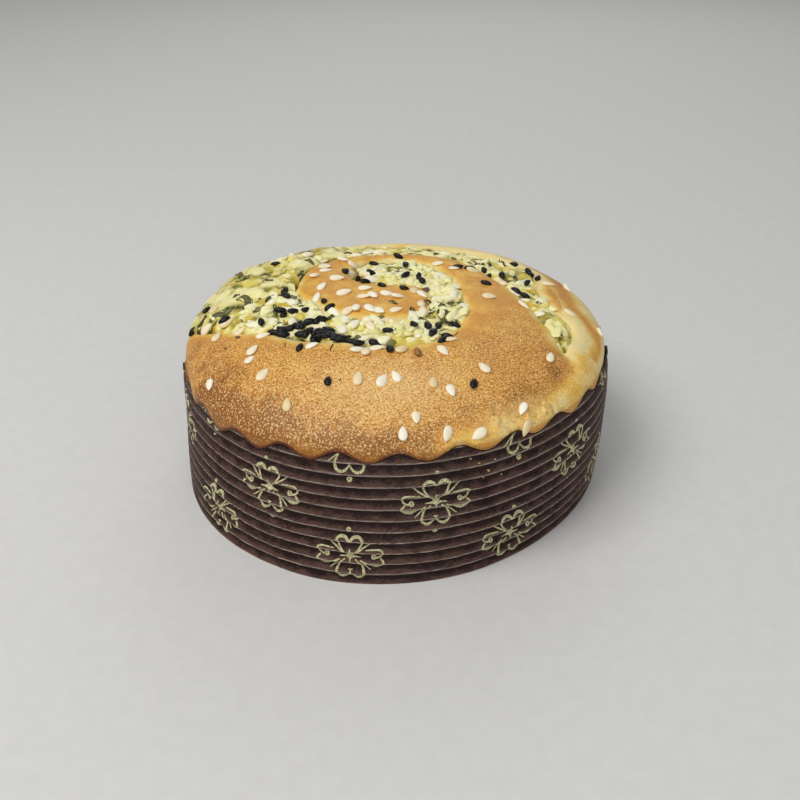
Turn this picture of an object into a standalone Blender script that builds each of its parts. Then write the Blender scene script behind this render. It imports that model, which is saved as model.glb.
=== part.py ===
"""A coiled spinach and cheese pie, baked in its own ribbed paper case.

Three solids share one frame, in metres, with +Z up and the origin under the middle of the base:
the paper case, the coil of soft dough that fills it, and the filling that shows in the coil's
open seam. The seeds strewn over the top belong to the dough or the filling that they lie on.
"""
import math
import random

import bmesh
import bpy
import numpy as np
from mathutils import Matrix

# Paper case: a drum of ribbed paper with a scalloped rim
CASE_RADIUS = 0.0550
CASE_HEIGHT = 0.0349
CASE_SQUEEZE = 0.026
SCALLOPS = 27
SCALLOP_HEIGHT = 0.0013
SCALLOP_TURN = math.radians(-87.2)
STEPS_PER_SCALLOP = 4
# Places where the soft rim sags, as (turn in degrees, depth, reach in degrees)
RIM_SAGS = ((-125, 0.0015, 20), (8, 0.0020, 22), (45, 0.0016, 25), (178, 0.0018, 16))
RIBS = 11
RIB_PITCH = 0.0030
LOWEST_RIB = 0.0028
RIB_DEPTH = 0.0009
SCOOP_AT = 0.7
PAPER = 0.00065
BASE_THICKNESS = 0.0008

# Dough: fills the case and domes over its rim
CLEARANCE = 0.00035
DOME_EDGE = 0.0362
DOME_RISE = 0.0126
DOME_ROUNDNESS = 3.0
DOME_SHOULDER = 0.66
LEAN = 0.09
LEAN_TOWARDS = math.radians(195)
BACK_DROP = 0.0022
BACK_TOWARDS = math.radians(65)
BACK_ROUNDNESS = 8
DOUGH_SECTORS = 84
DOUGH_RINGS = 13
LIP_DROP = 0.0016
LIP_WIDTH = 0.0040

# Seam: the open channel that winds inwards, as (turn in degrees, radius, half width)
SEAM = (
    (-28, 0.0452, 0.0008),
    (-16, 0.0412, 0.0033),
    (-6, 0.0367, 0.0026),
    (4, 0.0342, 0.0031),
    (18, 0.0333, 0.0052),
    (36, 0.0350, 0.0080),
    (55, 0.0350, 0.0084),
    (95, 0.0359, 0.0104),
    (116, 0.0372, 0.0110),
    (128, 0.0412, 0.0143),
    (165, 0.0408, 0.0146),
    (176, 0.0389, 0.0136),
    (187, 0.0351, 0.0108),
    (207, 0.0289, 0.0075),
    (240, 0.0236, 0.0054),
    (275, 0.0224, 0.0055),
    (307, 0.0188, 0.0052),
    (345, 0.0129, 0.0036),
    (380, 0.0108, 0.0045),
    (425, 0.0108, 0.0076),
    (450, 0.0110, 0.0090),
)
SEAM_STEPS = 68
SEAM_FLOOR = 0.0330
SEAM_LANES = 5
END_CAP = (0.35, 0.65, 0.88, 0.98)
CUTTER_TOP = 0.0700

# Filling: soft curds that stand a little below the dough's lips
FILLING_SUNK = 0.0020
FILLING_PROUD = 0.0016
FILLING_LUMP = 0.0007
OPEN_FROM, OPEN_TO = 105, 200

# Seeds: flat drops strewn over the top
SEED_LENGTH = 0.0032
SEED_WIDTH = 0.0019
SEED_THICKNESS = 0.0012
SEED_RAISED = 0.00023
SEED_SIDES = 6
SEED_BANDS = 4
DOUGH_SEEDS = 32
FILLING_SEEDS = 22
SEED_SPACING = 0.0052
SEED_MARGIN = 0.0022
SEED_DRAW = 11

PAPER_COLOUR = (0.045, 0.026, 0.027, 1.0)
DOUGH_COLOUR = (0.52, 0.29, 0.11, 1.0)
FILLING_COLOUR = (0.62, 0.60, 0.33, 1.0)


def clear_scene():
    """Removes every object that the file starts with."""
    for item in list(bpy.data.objects):
        bpy.data.objects.remove(item, do_unlink=True)


def make_material(name, colour, roughness):
    """Returns a plain material of one colour."""
    material = bpy.data.materials.new(name)
    material.use_nodes = True
    shader = material.node_tree.nodes["Principled BSDF"]
    shader.inputs["Base Color"].default_value = colour
    shader.inputs["Roughness"].default_value = roughness
    shader.inputs["Metallic"].default_value = 0.0
    return material


def add_solid(name, vertices, faces, material=None):
    """Links a closed mesh with its faces pointing out."""
    mesh = bpy.data.meshes.new(name)
    mesh.from_pydata(vertices, [], faces)
    work = bmesh.new()
    work.from_mesh(mesh)
    bmesh.ops.recalc_face_normals(work, faces=work.faces)
    work.to_mesh(mesh)
    work.free()
    solid = bpy.data.objects.new(name, mesh)
    bpy.context.scene.collection.objects.link(solid)
    if material is not None:
        mesh.materials.append(material)
        mesh.shade_smooth()
        mesh.set_sharp_from_angle(angle=math.radians(35))
    return solid


def bridge(lower, upper):
    """Returns the quads between two closed rings of vertex numbers."""
    count = len(lower)
    return [(lower[i], lower[(i + 1) % count], upper[(i + 1) % count], upper[i]) for i in range(count)]


def lathe(profile_at, sectors):
    """Turns a profile that may change with the angle into vertices and faces, both ends closed flat."""
    profiles = [profile_at(math.tau * i / sectors) for i in range(sectors)]
    length = len(profiles[0])
    vertices = []
    for i, profile in enumerate(profiles):
        angle = math.tau * i / sectors
        vertices += [(r * math.cos(angle), r * math.sin(angle), z) for r, z in profile]
    rings = [[i * length + j for i in range(sectors)] for j in range(length)]
    faces = [quad for lower, upper in zip(rings, rings[1:]) for quad in bridge(lower, upper)]
    return vertices, faces + [tuple(rings[0]), tuple(rings[-1])]


def rim_sag(angle):
    """How far the rim has sagged at an angle round the case."""
    total = 0.0
    for turn, depth, reach in RIM_SAGS:
        away = (math.degrees(angle) - turn + 180) % 360 - 180
        total += depth * math.exp(-((away / reach) ** 2))
    return total


def rim_height(angle):
    """Height of the case's scalloped edge at an angle round it."""
    return CASE_HEIGHT - rim_sag(angle) + SCALLOP_HEIGHT * math.cos(SCALLOPS * (angle - SCALLOP_TURN))


def case_profile(angle):
    """The case's section: up the ribbed outside, over the rim and down the plain inside."""
    top = rim_height(angle)
    squash = 1.0 - rim_sag(angle) / CASE_HEIGHT
    profile = [(CASE_RADIUS - 0.3 * RIB_DEPTH, 0.0)]
    for rib in range(RIBS):
        crest = (LOWEST_RIB + rib * RIB_PITCH) * squash
        profile.append((CASE_RADIUS - RIB_DEPTH, crest - (1.0 - SCOOP_AT) * RIB_PITCH))
        profile.append((CASE_RADIUS, crest))
    profile.append((CASE_RADIUS - 0.5 * RIB_DEPTH, top))
    inside = CASE_RADIUS - RIB_DEPTH - PAPER
    profile.append((inside, top))
    profile.append((inside, BASE_THICKNESS))
    return profile


def make_case():
    """Builds the ribbed case."""
    paper = make_material("brown_paper", PAPER_COLOUR, 0.55)
    vertices, faces = lathe(case_profile, SCALLOPS * STEPS_PER_SCALLOP)
    return add_solid("paper_case", vertices, faces, paper)


def filling_radius():
    """The radius that is free for the food inside the case."""
    return CASE_RADIUS - RIB_DEPTH - PAPER - CLEARANCE


def dome_height(x, y):
    """Height of the pie's smooth top, a little fuller on the side it leans towards."""
    radius, angle = min(math.hypot(x, y) / filling_radius(), 1.0), math.atan2(y, x)
    lean = 1.0 + LEAN * radius * math.cos(angle - LEAN_TOWARDS)
    drop = BACK_DROP * max(math.cos(angle - BACK_TOWARDS), 0.0) * radius ** 2 * (1.0 - radius ** BACK_ROUNDNESS)
    return DOME_EDGE + DOME_RISE * lean * (1.0 - radius ** DOME_ROUNDNESS) ** DOME_SHOULDER - drop


def smooth_rows(rows, places):
    """Reads a smooth curve through the rows of a table at each place in its first column."""
    rows = np.array(rows)
    at, values = rows[:, 0], rows[:, 1:]
    slopes = np.gradient(values, at, axis=0)
    out = []
    for place in places:
        i = min(max(int(np.searchsorted(at, place)) - 1, 0), len(at) - 2)
        span = at[i + 1] - at[i]
        t = (place - at[i]) / span
        out.append(
            (2 * t ** 3 - 3 * t ** 2 + 1) * values[i]
            + (t ** 3 - 2 * t ** 2 + t) * span * slopes[i]
            + (3 * t ** 2 - 2 * t ** 3) * values[i + 1]
            + (t ** 3 - t ** 2) * span * slopes[i + 1]
        )
    return np.array(out)


def seam_stations(inset=0.0):
    """Returns the seam's middle points, sideways directions, half widths and turns, with a round end."""
    turns = np.linspace(SEAM[0][0], SEAM[-1][0], SEAM_STEPS)
    radius, half = smooth_rows(SEAM, turns).T
    middle = np.stack([radius * np.cos(np.radians(turns)), radius * np.sin(np.radians(turns))], 1)
    along = np.gradient(middle, axis=0)
    along /= np.linalg.norm(along, axis=1)[:, None]
    side = np.stack([along[:, 1], -along[:, 0]], 1)
    half = half - inset
    ends = [middle[-1] + along[-1] * half[-1] * step for step in END_CAP]
    middle = np.concatenate([middle, ends])
    side = np.concatenate([side, [side[-1]] * len(END_CAP)])
    half = np.concatenate([half, [half[-1] * math.sqrt(1 - step ** 2) for step in END_CAP]])
    turns = np.concatenate([turns, [turns[-1]] * len(END_CAP)])
    return middle, side, half, turns


def from_seam(x, y, stations):
    """Distance from a point of the plan to the seam's nearest edge, below zero inside the seam."""
    middle, _, half, _ = stations
    return float(np.min(np.hypot(middle[:, 0] - x, middle[:, 1] - y) - half))


def dough_height(x, y, stations):
    """Height of the dough, which rolls down towards the seam's edges."""
    away = max(from_seam(x, y, stations), 0.0)
    return dome_height(x, y) - LIP_DROP * math.exp(-((away / LIP_WIDTH) ** 2))


def dough_blank(stations, material):
    """Builds the uncut dough: a filled drum with a domed top."""
    edge = filling_radius()
    heights = [edge * math.sin(0.5 * math.pi * ring / DOUGH_RINGS) for ring in range(DOUGH_RINGS, 0, -1)]

    def profile_at(angle):
        shape = [(edge, BASE_THICKNESS + CLEARANCE)]
        for radius in heights:
            x, y = radius * math.cos(angle), radius * math.sin(angle)
            shape.append((radius, dough_height(x, y, stations)))
        return shape

    vertices, faces = lathe(profile_at, DOUGH_SECTORS)
    crown = len(vertices)
    vertices.append((0.0, 0.0, dough_height(0.0, 0.0, stations)))
    last = faces.pop()
    faces += [(last[i], last[(i + 1) % len(last)], crown) for i in range(len(last))]
    return add_solid("dough", vertices, faces, material)


def strip_solid(rows, floor):
    """Closes a strip of top points, given as rows across it, down to a flat floor."""
    width = len(rows[0])
    top = [tuple(point) for row in rows for point in row]
    bottom = [(x, y, floor) for x, y, _ in top]
    below = len(top)
    faces = []
    for i in range(len(rows) - 1):
        for j in range(width - 1):
            a, b = i * width + j, (i + 1) * width + j
            faces.append((a, a + 1, b + 1, b))
            faces.append((below + a, below + b, below + b + 1, below + a + 1))
        for j in (0, width - 1):
            a, b = i * width + j, (i + 1) * width + j
            faces.append((a, b, below + b, below + a))
    for i in (0, len(rows) - 1):
        for j in range(width - 1):
            a = i * width + j
            faces.append((a, a + 1, below + a + 1, below + a))
    return top + bottom, faces


def seam_rows(stations, lanes, height_at, limit=None):
    """Returns rows of points across the seam, kept inside a limiting radius."""
    rows = []
    for middle, side, half, turn in zip(*stations):
        row = []
        for lane in range(lanes):
            x, y = middle + side * half * (2 * lane / (lanes - 1) - 1)
            reach = math.hypot(x, y)
            if limit is not None and reach > limit:
                x, y = x * limit / reach, y * limit / reach
            row.append((x, y, height_at(x, y, turn)))
        rows.append(row)
    return rows


def filling_height(x, y, turn):
    """Height of the filling: sunk between the lips, proud where the seam lies open to the case."""
    middle = 0.5 * (OPEN_FROM + OPEN_TO)
    openness = math.exp(-(((turn - middle) / (0.5 * (OPEN_TO - OPEN_FROM))) ** 4))
    lump = math.sin(1300 * x + 1.7 * math.sin(900 * y)) * math.sin(1100 * y + 0.8)
    return dome_height(x, y) - FILLING_SUNK + FILLING_PROUD * openness + FILLING_LUMP * lump


def settle(solid):
    """Makes the result of a solid's modifiers its own mesh."""
    bpy.context.view_layer.update()
    result = bpy.data.meshes.new_from_object(solid.evaluated_get(bpy.context.evaluated_depsgraph_get()))
    solid.modifiers.clear()
    solid.data = result


def combine(solid, others, operation, solver):
    """Cuts other objects out of a solid or joins them to it, and removes them."""
    gathered = bpy.data.collections.new("gathered")
    bpy.context.scene.collection.children.link(gathered)
    for item in others:
        bpy.context.scene.collection.objects.unlink(item)
        gathered.objects.link(item)
    modifier = solid.modifiers.new(operation.lower(), "BOOLEAN")
    modifier.operation = operation
    modifier.operand_type = "COLLECTION"
    modifier.collection = gathered
    modifier.solver = solver
    settle(solid)
    for item in others:
        bpy.data.objects.remove(item, do_unlink=True)
    bpy.data.collections.remove(gathered)


def make_seed(place, normal, heading):
    """Builds one flat drop, lying nearly half sunk on a slope."""
    up = np.array(normal)
    ahead = np.array([math.cos(heading), math.sin(heading), 0.0])
    ahead -= up * float(ahead @ up)
    ahead /= np.linalg.norm(ahead)
    across = np.cross(up, ahead)
    vertices = []
    for band in range(1, SEED_BANDS):
        turn = math.pi * band / SEED_BANDS
        width = math.sin(turn) * (1.0 + 0.25 * math.cos(turn))
        for side in range(SEED_SIDES):
            angle = math.tau * side / SEED_SIDES
            vertices.append(
                place
                + ahead * 0.5 * SEED_LENGTH * math.cos(turn)
                + across * 0.5 * SEED_WIDTH * width * math.cos(angle)
                + up * 0.5 * SEED_THICKNESS * width * math.sin(angle)
            )
    first, last = len(vertices), len(vertices) + 1
    vertices += [place + ahead * 0.5 * SEED_LENGTH, place - ahead * 0.5 * SEED_LENGTH]
    rings = [[band * SEED_SIDES + side for side in range(SEED_SIDES)] for band in range(SEED_BANDS - 1)]
    faces = [quad for lower, upper in zip(rings, rings[1:]) for quad in bridge(lower, upper)]
    for side in range(SEED_SIDES):
        after = (side + 1) % SEED_SIDES
        faces.append((rings[0][side], rings[0][after], first))
        faces.append((rings[-1][side], rings[-1][after], last))
    return add_solid("seed", vertices, faces)


def strew(count, draw, wanted, solid):
    """Lays seeds on a solid at seeded places where they are wanted, none close to another."""
    seeds, taken = [], []
    while len(seeds) < count:
        radius = 0.0490 * math.sqrt(draw.random())
        angle = draw.uniform(0, math.tau)
        x, y = radius * math.cos(angle), radius * math.sin(angle)
        if not wanted(x, y) or any(math.hypot(x - a, y - b) < SEED_SPACING for a, b in taken):
            continue
        taken.append((x, y))
        _, place, normal, _ = solid.ray_cast((x, y, CUTTER_TOP), (0.0, 0.0, -1.0))
        middle = np.array(place + normal * SEED_RAISED)
        seeds.append(make_seed(middle, normal, draw.uniform(0, math.tau)))
    return seeds


def make_dough(draw):
    """Builds the coil: the domed blank with the seam cut into it and seeds on its rolls."""
    crust = make_material("baked_dough", DOUGH_COLOUR, 0.6)
    stations = seam_stations()
    dough = dough_blank(stations, crust)
    rows = seam_rows(stations, 2, lambda x, y, turn: CUTTER_TOP)
    cutter = add_solid("seam_cutter", *strip_solid(rows, SEAM_FLOOR))
    combine(dough, [cutter], "DIFFERENCE", "EXACT")

    def on_roll(x, y):
        return from_seam(x, y, stations) > SEED_MARGIN

    seeds = strew(DOUGH_SEEDS, draw, on_roll, dough)
    combine(dough, seeds, "UNION", "MANIFOLD")
    return dough


def make_filling(draw):
    """Builds the filling that lies in the seam, with its own seeds."""
    curds = make_material("cheese_filling", FILLING_COLOUR, 0.5)
    stations = seam_stations(CLEARANCE)
    rows = seam_rows(stations, SEAM_LANES, filling_height, filling_radius() - CLEARANCE)
    filling = add_solid("filling", *strip_solid(rows, SEAM_FLOOR + CLEARANCE), curds)

    def in_seam(x, y):
        return from_seam(x, y, stations) < -SEED_MARGIN

    seeds = strew(FILLING_SEEDS, draw, in_seam, filling)
    combine(filling, seeds, "UNION", "MANIFOLD")
    return filling


def squeeze(solid):
    """Presses the round plan slightly oval, as a soft case stands."""
    solid.data.transform(Matrix(((1, CASE_SQUEEZE, 0, 0), (CASE_SQUEEZE, 1, 0, 0), (0, 0, 1, 0), (0, 0, 0, 1))))


def main():
    """Builds the case and the food in it."""
    clear_scene()
    draw = random.Random(SEED_DRAW)
    for solid in (make_case(), make_dough(draw), make_filling(draw)):
        squeeze(solid)


main()
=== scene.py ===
"""The looks of a coiled spinach and cheese pie that stands in its ribbed paper case.

Sizes are in metres unless a name or a comment says otherwise. The plan is laid out round, with
its angles counted from +X towards +Y, and pressed slightly oval at the end, as the soft case stands.
"""
from __future__ import annotations

import logging
import math
import random
from dataclasses import dataclass, field
from enum import Enum
from typing import Iterator

import bpy
import numpy as np
from mathutils import Matrix, Vector
from mathutils.bvhtree import BVHTree

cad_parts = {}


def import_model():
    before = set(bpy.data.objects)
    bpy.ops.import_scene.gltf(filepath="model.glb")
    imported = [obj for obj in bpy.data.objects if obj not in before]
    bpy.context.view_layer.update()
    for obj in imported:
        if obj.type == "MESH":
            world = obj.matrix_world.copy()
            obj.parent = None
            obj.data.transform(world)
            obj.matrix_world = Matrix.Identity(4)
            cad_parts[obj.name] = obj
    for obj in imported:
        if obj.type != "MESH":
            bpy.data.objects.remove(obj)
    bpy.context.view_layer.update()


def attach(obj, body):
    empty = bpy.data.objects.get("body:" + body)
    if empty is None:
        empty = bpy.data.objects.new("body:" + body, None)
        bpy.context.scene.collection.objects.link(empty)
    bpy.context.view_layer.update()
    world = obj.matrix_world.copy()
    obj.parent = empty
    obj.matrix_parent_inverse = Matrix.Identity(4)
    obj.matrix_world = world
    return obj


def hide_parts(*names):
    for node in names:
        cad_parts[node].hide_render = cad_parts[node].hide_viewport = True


LOG = logging.getLogger("pie")
MM = 0.001
IMAGE_SIDE = 800
Array = np.ndarray
Colour = tuple[float, float, float, float]
Socket = bpy.types.NodeSocket
Found = tuple[Vector, Vector, int]
Pairs = tuple[tuple[float, float], ...]
Triples = tuple[tuple[float, float, float], ...]


def smooth_step(low: float | Array, high: float | Array, value: Array) -> Array:
    """Rises smoothly from 0 at low to 1 at high."""
    t = np.clip((value - low) / (high - low), 0.0, 1.0)
    return t * t * (3.0 - 2.0 * t)


def turn_between(angle: Array, other: float) -> Array:
    """Turn from one angle to another, between minus and plus half a turn."""
    return (angle - other + math.pi) % math.tau - math.pi


def bell(distance: Array, reach: float) -> Array:
    """Falls off smoothly from 1, to about a third at the reach."""
    return np.exp(-((distance / reach) ** 2))


def bell_round(angle: Array, turn: float, reach: float) -> Array:
    """Falls off on both sides of a turn in degrees; the reach is in radians."""
    return bell(turn_between(angle, math.radians(turn)), reach)


def smooth_curve(at: Array, values: Array, slopes: Array, wanted: Array) -> Array:
    """Reads a smooth curve that runs through known values.

    Args:
        at: Where the values are known, rising.
        values: The values there, one row to each.
        slopes: How fast they change there.
        wanted: Where to read the curve.

    Returns:
        One row of values for each place wanted.
    """
    i = np.clip(np.searchsorted(at, wanted) - 1, 0, len(at) - 2)
    span = (at[i + 1] - at[i])[:, None]
    t = (wanted - at[i])[:, None] / span
    return (
        (2 * t**3 - 3 * t**2 + 1) * values[i]
        + (t**3 - 2 * t**2 + t) * span * slopes[i]
        + (3 * t**2 - 2 * t**3) * values[i + 1]
        + (t**3 - t**2) * span * slopes[i + 1]
    )


def grid_quads(rows: int, columns: int, closed: bool = False) -> Array:
    """Lists the quads of a grid of points.

    Args:
        rows: Number of rows of points.
        columns: Number of points in a row.
        closed: Whether a row's last point joins its first.

    Returns:
        Point numbers, four to a quad.
    """
    row = np.arange(rows - 1)[:, None] * columns
    first = np.arange(columns if closed else columns - 1)[None, :]
    after = (first + 1) % columns
    quads = np.stack([row + first, row + after, row + columns + after, row + columns + first], -1)
    return quads.reshape(-1, 4)


def grid_border(rows: int, columns: int) -> Array:
    """Lists the points once round the border of a grid."""
    number = np.arange(rows * columns).reshape(rows, columns)
    return np.concatenate([number[0, :-1], number[:-1, -1], number[-1, :0:-1], number[:0:-1, 0]])


def ball_faces(bands: int, sides: int, turned: bool = False) -> tuple[Array, list[tuple[int, ...]]]:
    """Closes rings of points into a ball whose two poles come last.

    Args:
        bands: Number of bands from pole to pole.
        sides: Number of points in a ring.
        turned: Whether the rings run the other way, so that the faces have to turn too.

    Returns:
        The quads between the rings and the triangles round the poles.
    """
    quads = grid_quads(bands - 1, sides, closed=True)
    start, pole = (bands - 2) * sides, (bands - 1) * sides
    caps = [((i + 1) % sides, i, pole) for i in range(sides)]
    caps += [(start + i, start + (i + 1) % sides, pole + 1) for i in range(sides)]
    if turned:
        return quads[:, ::-1], [(second, first, end) for first, second, end in caps]
    return quads, caps


@dataclass(frozen=True)
class Grain:
    """Smooth repeatable unevenness, read at points in space."""

    seed: int
    spread: tuple[int, int, int, int] = (73856093, 19349663, 83492791, 2654435)
    layer_shift: float = 7.3
    lump_reach: float = 0.55

    def _chance(self, cell: Array) -> Array:
        """Gives each whole-numbered cell its own number from 0 to 1."""
        x, y, z = (cell[..., k] * self.spread[k] for k in range(3))
        mixed = (x ^ y ^ z ^ self.seed * self.spread[3]) & 0xFFFFFFFF
        mixed = ((mixed ^ (mixed >> 15)) * 2246822519) & 0xFFFFFFFF
        mixed = ((mixed ^ (mixed >> 13)) * 3266489917) & 0xFFFFFFFF
        return ((mixed ^ (mixed >> 16)) & 0xFFFFFF) / float(0xFFFFFF)

    def read(self, points: Array, size: float) -> Array:
        """Reads unevenness of one size, from -1 to 1."""
        place = points / size
        cell = np.floor(place).astype(np.int64)
        t = place - cell
        t = t * t * (3.0 - 2.0 * t)
        total = np.zeros(points.shape[:-1])
        for corner in np.ndindex(2, 2, 2):
            weight = np.prod(np.where(np.array(corner) == 1, t, 1.0 - t), axis=-1)
            total += weight * self._chance(cell + np.array(corner))
        return 2.0 * total - 1.0

    def layered(self, points: Array, size: float, layers: int = 3) -> Array:
        """Adds finer and weaker layers of unevenness to the first."""
        shift = self.layer_shift * size
        return sum(0.5**k * self.read(points + k * shift, size * 0.5**k) for k in range(layers))

    def lumps(self, x: Array, y: Array, size: float) -> tuple[Array, Array]:
        """Packs round lumps side by side over a plan.

        Args:
            x: Places along X.
            y: Places along Y.
            size: Distance between neighbouring lumps.

        Returns:
            How high on its lump each place is, from 0 at the edge to 1, and each lump's own chance.
        """
        across, along = x / size, y / size
        cell_x, cell_y = np.floor(across).astype(np.int64), np.floor(along).astype(np.int64)
        nearest = np.full(x.shape, 9.0)
        own = np.zeros(x.shape)
        for step_x in (-1, 0, 1):
            for step_y in (-1, 0, 1):
                i, j = cell_x + step_x, cell_y + step_y
                spot = [self._chance(np.stack([i, j, np.full_like(i, layer)], -1)) for layer in range(3)]
                away = (i + spot[0] - across) ** 2 + (j + spot[1] - along) ** 2
                closer = away < nearest
                nearest = np.where(closer, away, nearest)
                own = np.where(closer, spot[2], own)
        return np.clip(1.0 - nearest / self.lump_reach, 0.0, 1.0), own


@dataclass(frozen=True)
class PieForm:
    """The measures that the case, the dough and the filling share."""

    case_radius: float = 55.0 * MM
    rim_middle: float = 34.9 * MM
    scallop_height: float = 1.3 * MM
    scallops: int = 27
    scallop_turn: float = math.radians(-87.2)
    scallop_wander: float = 0.015
    rim_unevenness: float = 0.35 * MM
    food_radius: float = 53.1 * MM
    squeeze: float = 0.026
    dome_edge: float = 36.2 * MM
    dome_rise: float = 12.6 * MM
    dome_roundness: float = 3.0
    dome_shoulder: float = 0.66
    lean: float = 0.09
    lean_towards: float = math.radians(195)
    back_drop: float = 2.2 * MM
    back_towards: float = math.radians(65)
    # Places where the soft rim sags: turn in degrees, depth in millimetres, reach in degrees
    rim_sags: Triples = ((-125, 1.5, 20), (8, 2.9, 24), (45, 1.6, 25), (184, 2.9, 18))
    grain: Grain = Grain(3)
    # Stations along the open seam: turn in degrees, radius and half width in millimetres
    seam: Triples = (
        (-28, 45.2, 0.8), (-16, 41.2, 3.3), (-6, 36.7, 2.6), (4, 34.2, 3.1), (18, 33.3, 5.2),
        (36, 35.0, 8.0), (55, 35.0, 8.4), (95, 35.9, 10.4), (116, 37.2, 11.0), (128, 41.2, 14.3),
        (165, 40.8, 14.6), (176, 38.9, 13.6), (187, 35.1, 10.8), (207, 28.9, 7.5), (240, 23.6, 5.4),
        (275, 22.4, 5.5), (307, 18.8, 5.2), (345, 12.9, 3.6), (380, 10.8, 4.5), (425, 10.8, 7.6),
        (450, 11.0, 9.0),
    )
    end_steps: int = 24
    gap_steps: int = 420
    gap_block: int = 4000

    def rim_height(self, angle: Array) -> Array:
        """Height of the scalloped paper rim at angles round the case."""
        ring = np.stack([np.cos(angle), np.sin(angle), 0 * angle], -1)
        uneven = self.rim_unevenness * self.grain.read(ring, 0.22)
        wander = self.scallop_wander * self.grain.read(ring + 5.0, 0.5)
        wave = np.cos(self.scallops * (angle - self.scallop_turn + wander))
        return self.rim_middle + self.scallop_height * wave + uneven - self.rim_sag(angle)

    def rim_sag(self, angle: Array) -> Array:
        """How far the rim has sagged at angles round the case."""
        sag = 0.0
        for turn, depth, reach in self.rim_sags:
            sag = sag + depth * MM * bell_round(angle, turn, math.radians(reach))
        return sag

    def dome(self, x: Array, y: Array) -> Array:
        """Height of the pie's smooth top over its plan."""
        radius, angle = np.minimum(np.hypot(x, y) / self.food_radius, 1.0), np.arctan2(y, x)
        lean = 1.0 + self.lean * radius * np.cos(angle - self.lean_towards)
        behind = np.maximum(np.cos(angle - self.back_towards), 0.0)
        drop = self.back_drop * behind * radius**2 * (1.0 - radius**8)
        rise = self.dome_rise * lean * (1.0 - radius**self.dome_roundness) ** self.dome_shoulder
        return self.dome_edge + rise - drop

    def seam_stations(self, steps: int) -> tuple[Array, Array, Array, Array]:
        """Reads the seam at even turns and rounds off its inner end.

        Args:
            steps: Number of stations before the round end.

        Returns:
            Middle points, sideways directions, half widths and turns in degrees.
        """
        rows = np.array(self.seam)
        at, values = rows[:, 0], rows[:, 1:] * MM
        turns = np.linspace(at[0], at[-1], steps)
        radius, half = smooth_curve(at, values, np.gradient(values, at, axis=0), turns).T
        middle = np.stack([radius * np.cos(np.radians(turns)), radius * np.sin(np.radians(turns))], 1)
        along = np.gradient(middle, axis=0)
        along /= np.linalg.norm(along, axis=1)[:, None]
        side = np.stack([along[:, 1], -along[:, 0]], 1)
        ends = np.sin(np.linspace(0, 0.5 * math.pi, self.end_steps + 1)[1:])
        middle = np.concatenate([middle, middle[-1] + np.outer(ends, along[-1] * half[-1])])
        side = np.concatenate([side, np.repeat(side[-1:], len(ends), 0)])
        half = np.concatenate([half, half[-1] * np.sqrt(np.maximum(1 - ends**2, 1e-4))])
        return middle, side, half, np.concatenate([turns, np.full(len(ends), turns[-1])])

    def seam_gap(self, x: Array, y: Array) -> Array:
        """Measures how far places are from the seam's edge, below zero inside it."""
        middle, _, half, _ = self.seam_stations(self.gap_steps)
        gap = np.empty(x.size)
        flat = np.stack([x.ravel(), y.ravel()], 1)
        for start in range(0, x.size, self.gap_block):
            block = slice(start, start + self.gap_block)
            away = flat[block, :, None] - middle.T
            gap[block] = np.min(np.hypot(away[:, 0], away[:, 1]) - half, 1)
        return gap.reshape(x.shape)

    def settle(self, points: Array) -> Array:
        """Presses round-plan points into the case's slightly oval plan."""
        out = np.array(points, dtype=float)
        out[..., 0] = points[..., 0] + self.squeeze * points[..., 1]
        out[..., 1] = points[..., 1] + self.squeeze * points[..., 0]
        return out


@dataclass
class Skin:
    """A mesh under construction: its points, faces and painted values."""

    points: Array
    quads: Array
    caps: list[tuple[int, ...]] = field(default_factory=list)
    paint: dict[str, Array] = field(default_factory=dict)

    def link(self, name: str, material: bpy.types.Material, crease: float = 60.0) -> bpy.types.Object:
        """Makes the mesh an object in the scene.

        Args:
            name: The piece's name.
            material: Its finish.
            crease: Angle in degrees above which an edge stays sharp.

        Returns:
            The new object.
        """
        corners = [*np.asarray(self.quads).ravel().tolist(), *(i for cap in self.caps for i in cap)]
        sizes = [4] * len(self.quads) + [len(cap) for cap in self.caps]
        mesh = bpy.data.meshes.new(name)
        mesh.vertices.add(len(self.points))
        mesh.vertices.foreach_set("co", np.asarray(self.points, dtype=np.float32).ravel())
        mesh.loops.add(len(corners))
        mesh.loops.foreach_set("vertex_index", corners)
        mesh.polygons.add(len(sizes))
        mesh.polygons.foreach_set("loop_start", np.concatenate([[0], np.cumsum(sizes)[:-1]]))
        for label, values in self.paint.items():
            layer = mesh.attributes.new(label, "FLOAT", "POINT")
            layer.data.foreach_set("value", np.asarray(values, dtype=np.float32).ravel())
        mesh.update(calc_edges=True)
        mesh.validate()
        mesh.shade_smooth()
        mesh.set_sharp_from_angle(angle=math.radians(crease))
        mesh.materials.append(material)
        piece = bpy.data.objects.new(name, mesh)
        bpy.context.scene.collection.objects.link(piece)
        return piece


def joined(skins: list[Skin]) -> Skin:
    """Gathers many small closed skins into one."""
    starts = np.cumsum([0] + [len(skin.points) for skin in skins])
    labels = skins[0].paint.keys()
    return Skin(
        np.concatenate([skin.points for skin in skins]),
        np.concatenate([skin.quads + start for skin, start in zip(skins, starts)]),
        [tuple(int(i + start) for i in cap) for skin, start in zip(skins, starts) for cap in skin.caps],
        {label: np.concatenate([skin.paint[label] for skin in skins]) for label in labels},
    )


def srgb(red: int, green: int, blue: int) -> Colour:
    """Turns a screen colour into the shader's linear colour."""
    shares = [part / 255 for part in (red, green, blue)]
    return (*(c / 12.92 if c <= 0.04045 else ((c + 0.055) / 1.055) ** 2.4 for c in shares), 1.0)


class Sum(Enum):
    """The ways in which a finish combines two values."""

    ADD = "ADD"
    MULTIPLY = "MULTIPLY"


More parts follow.
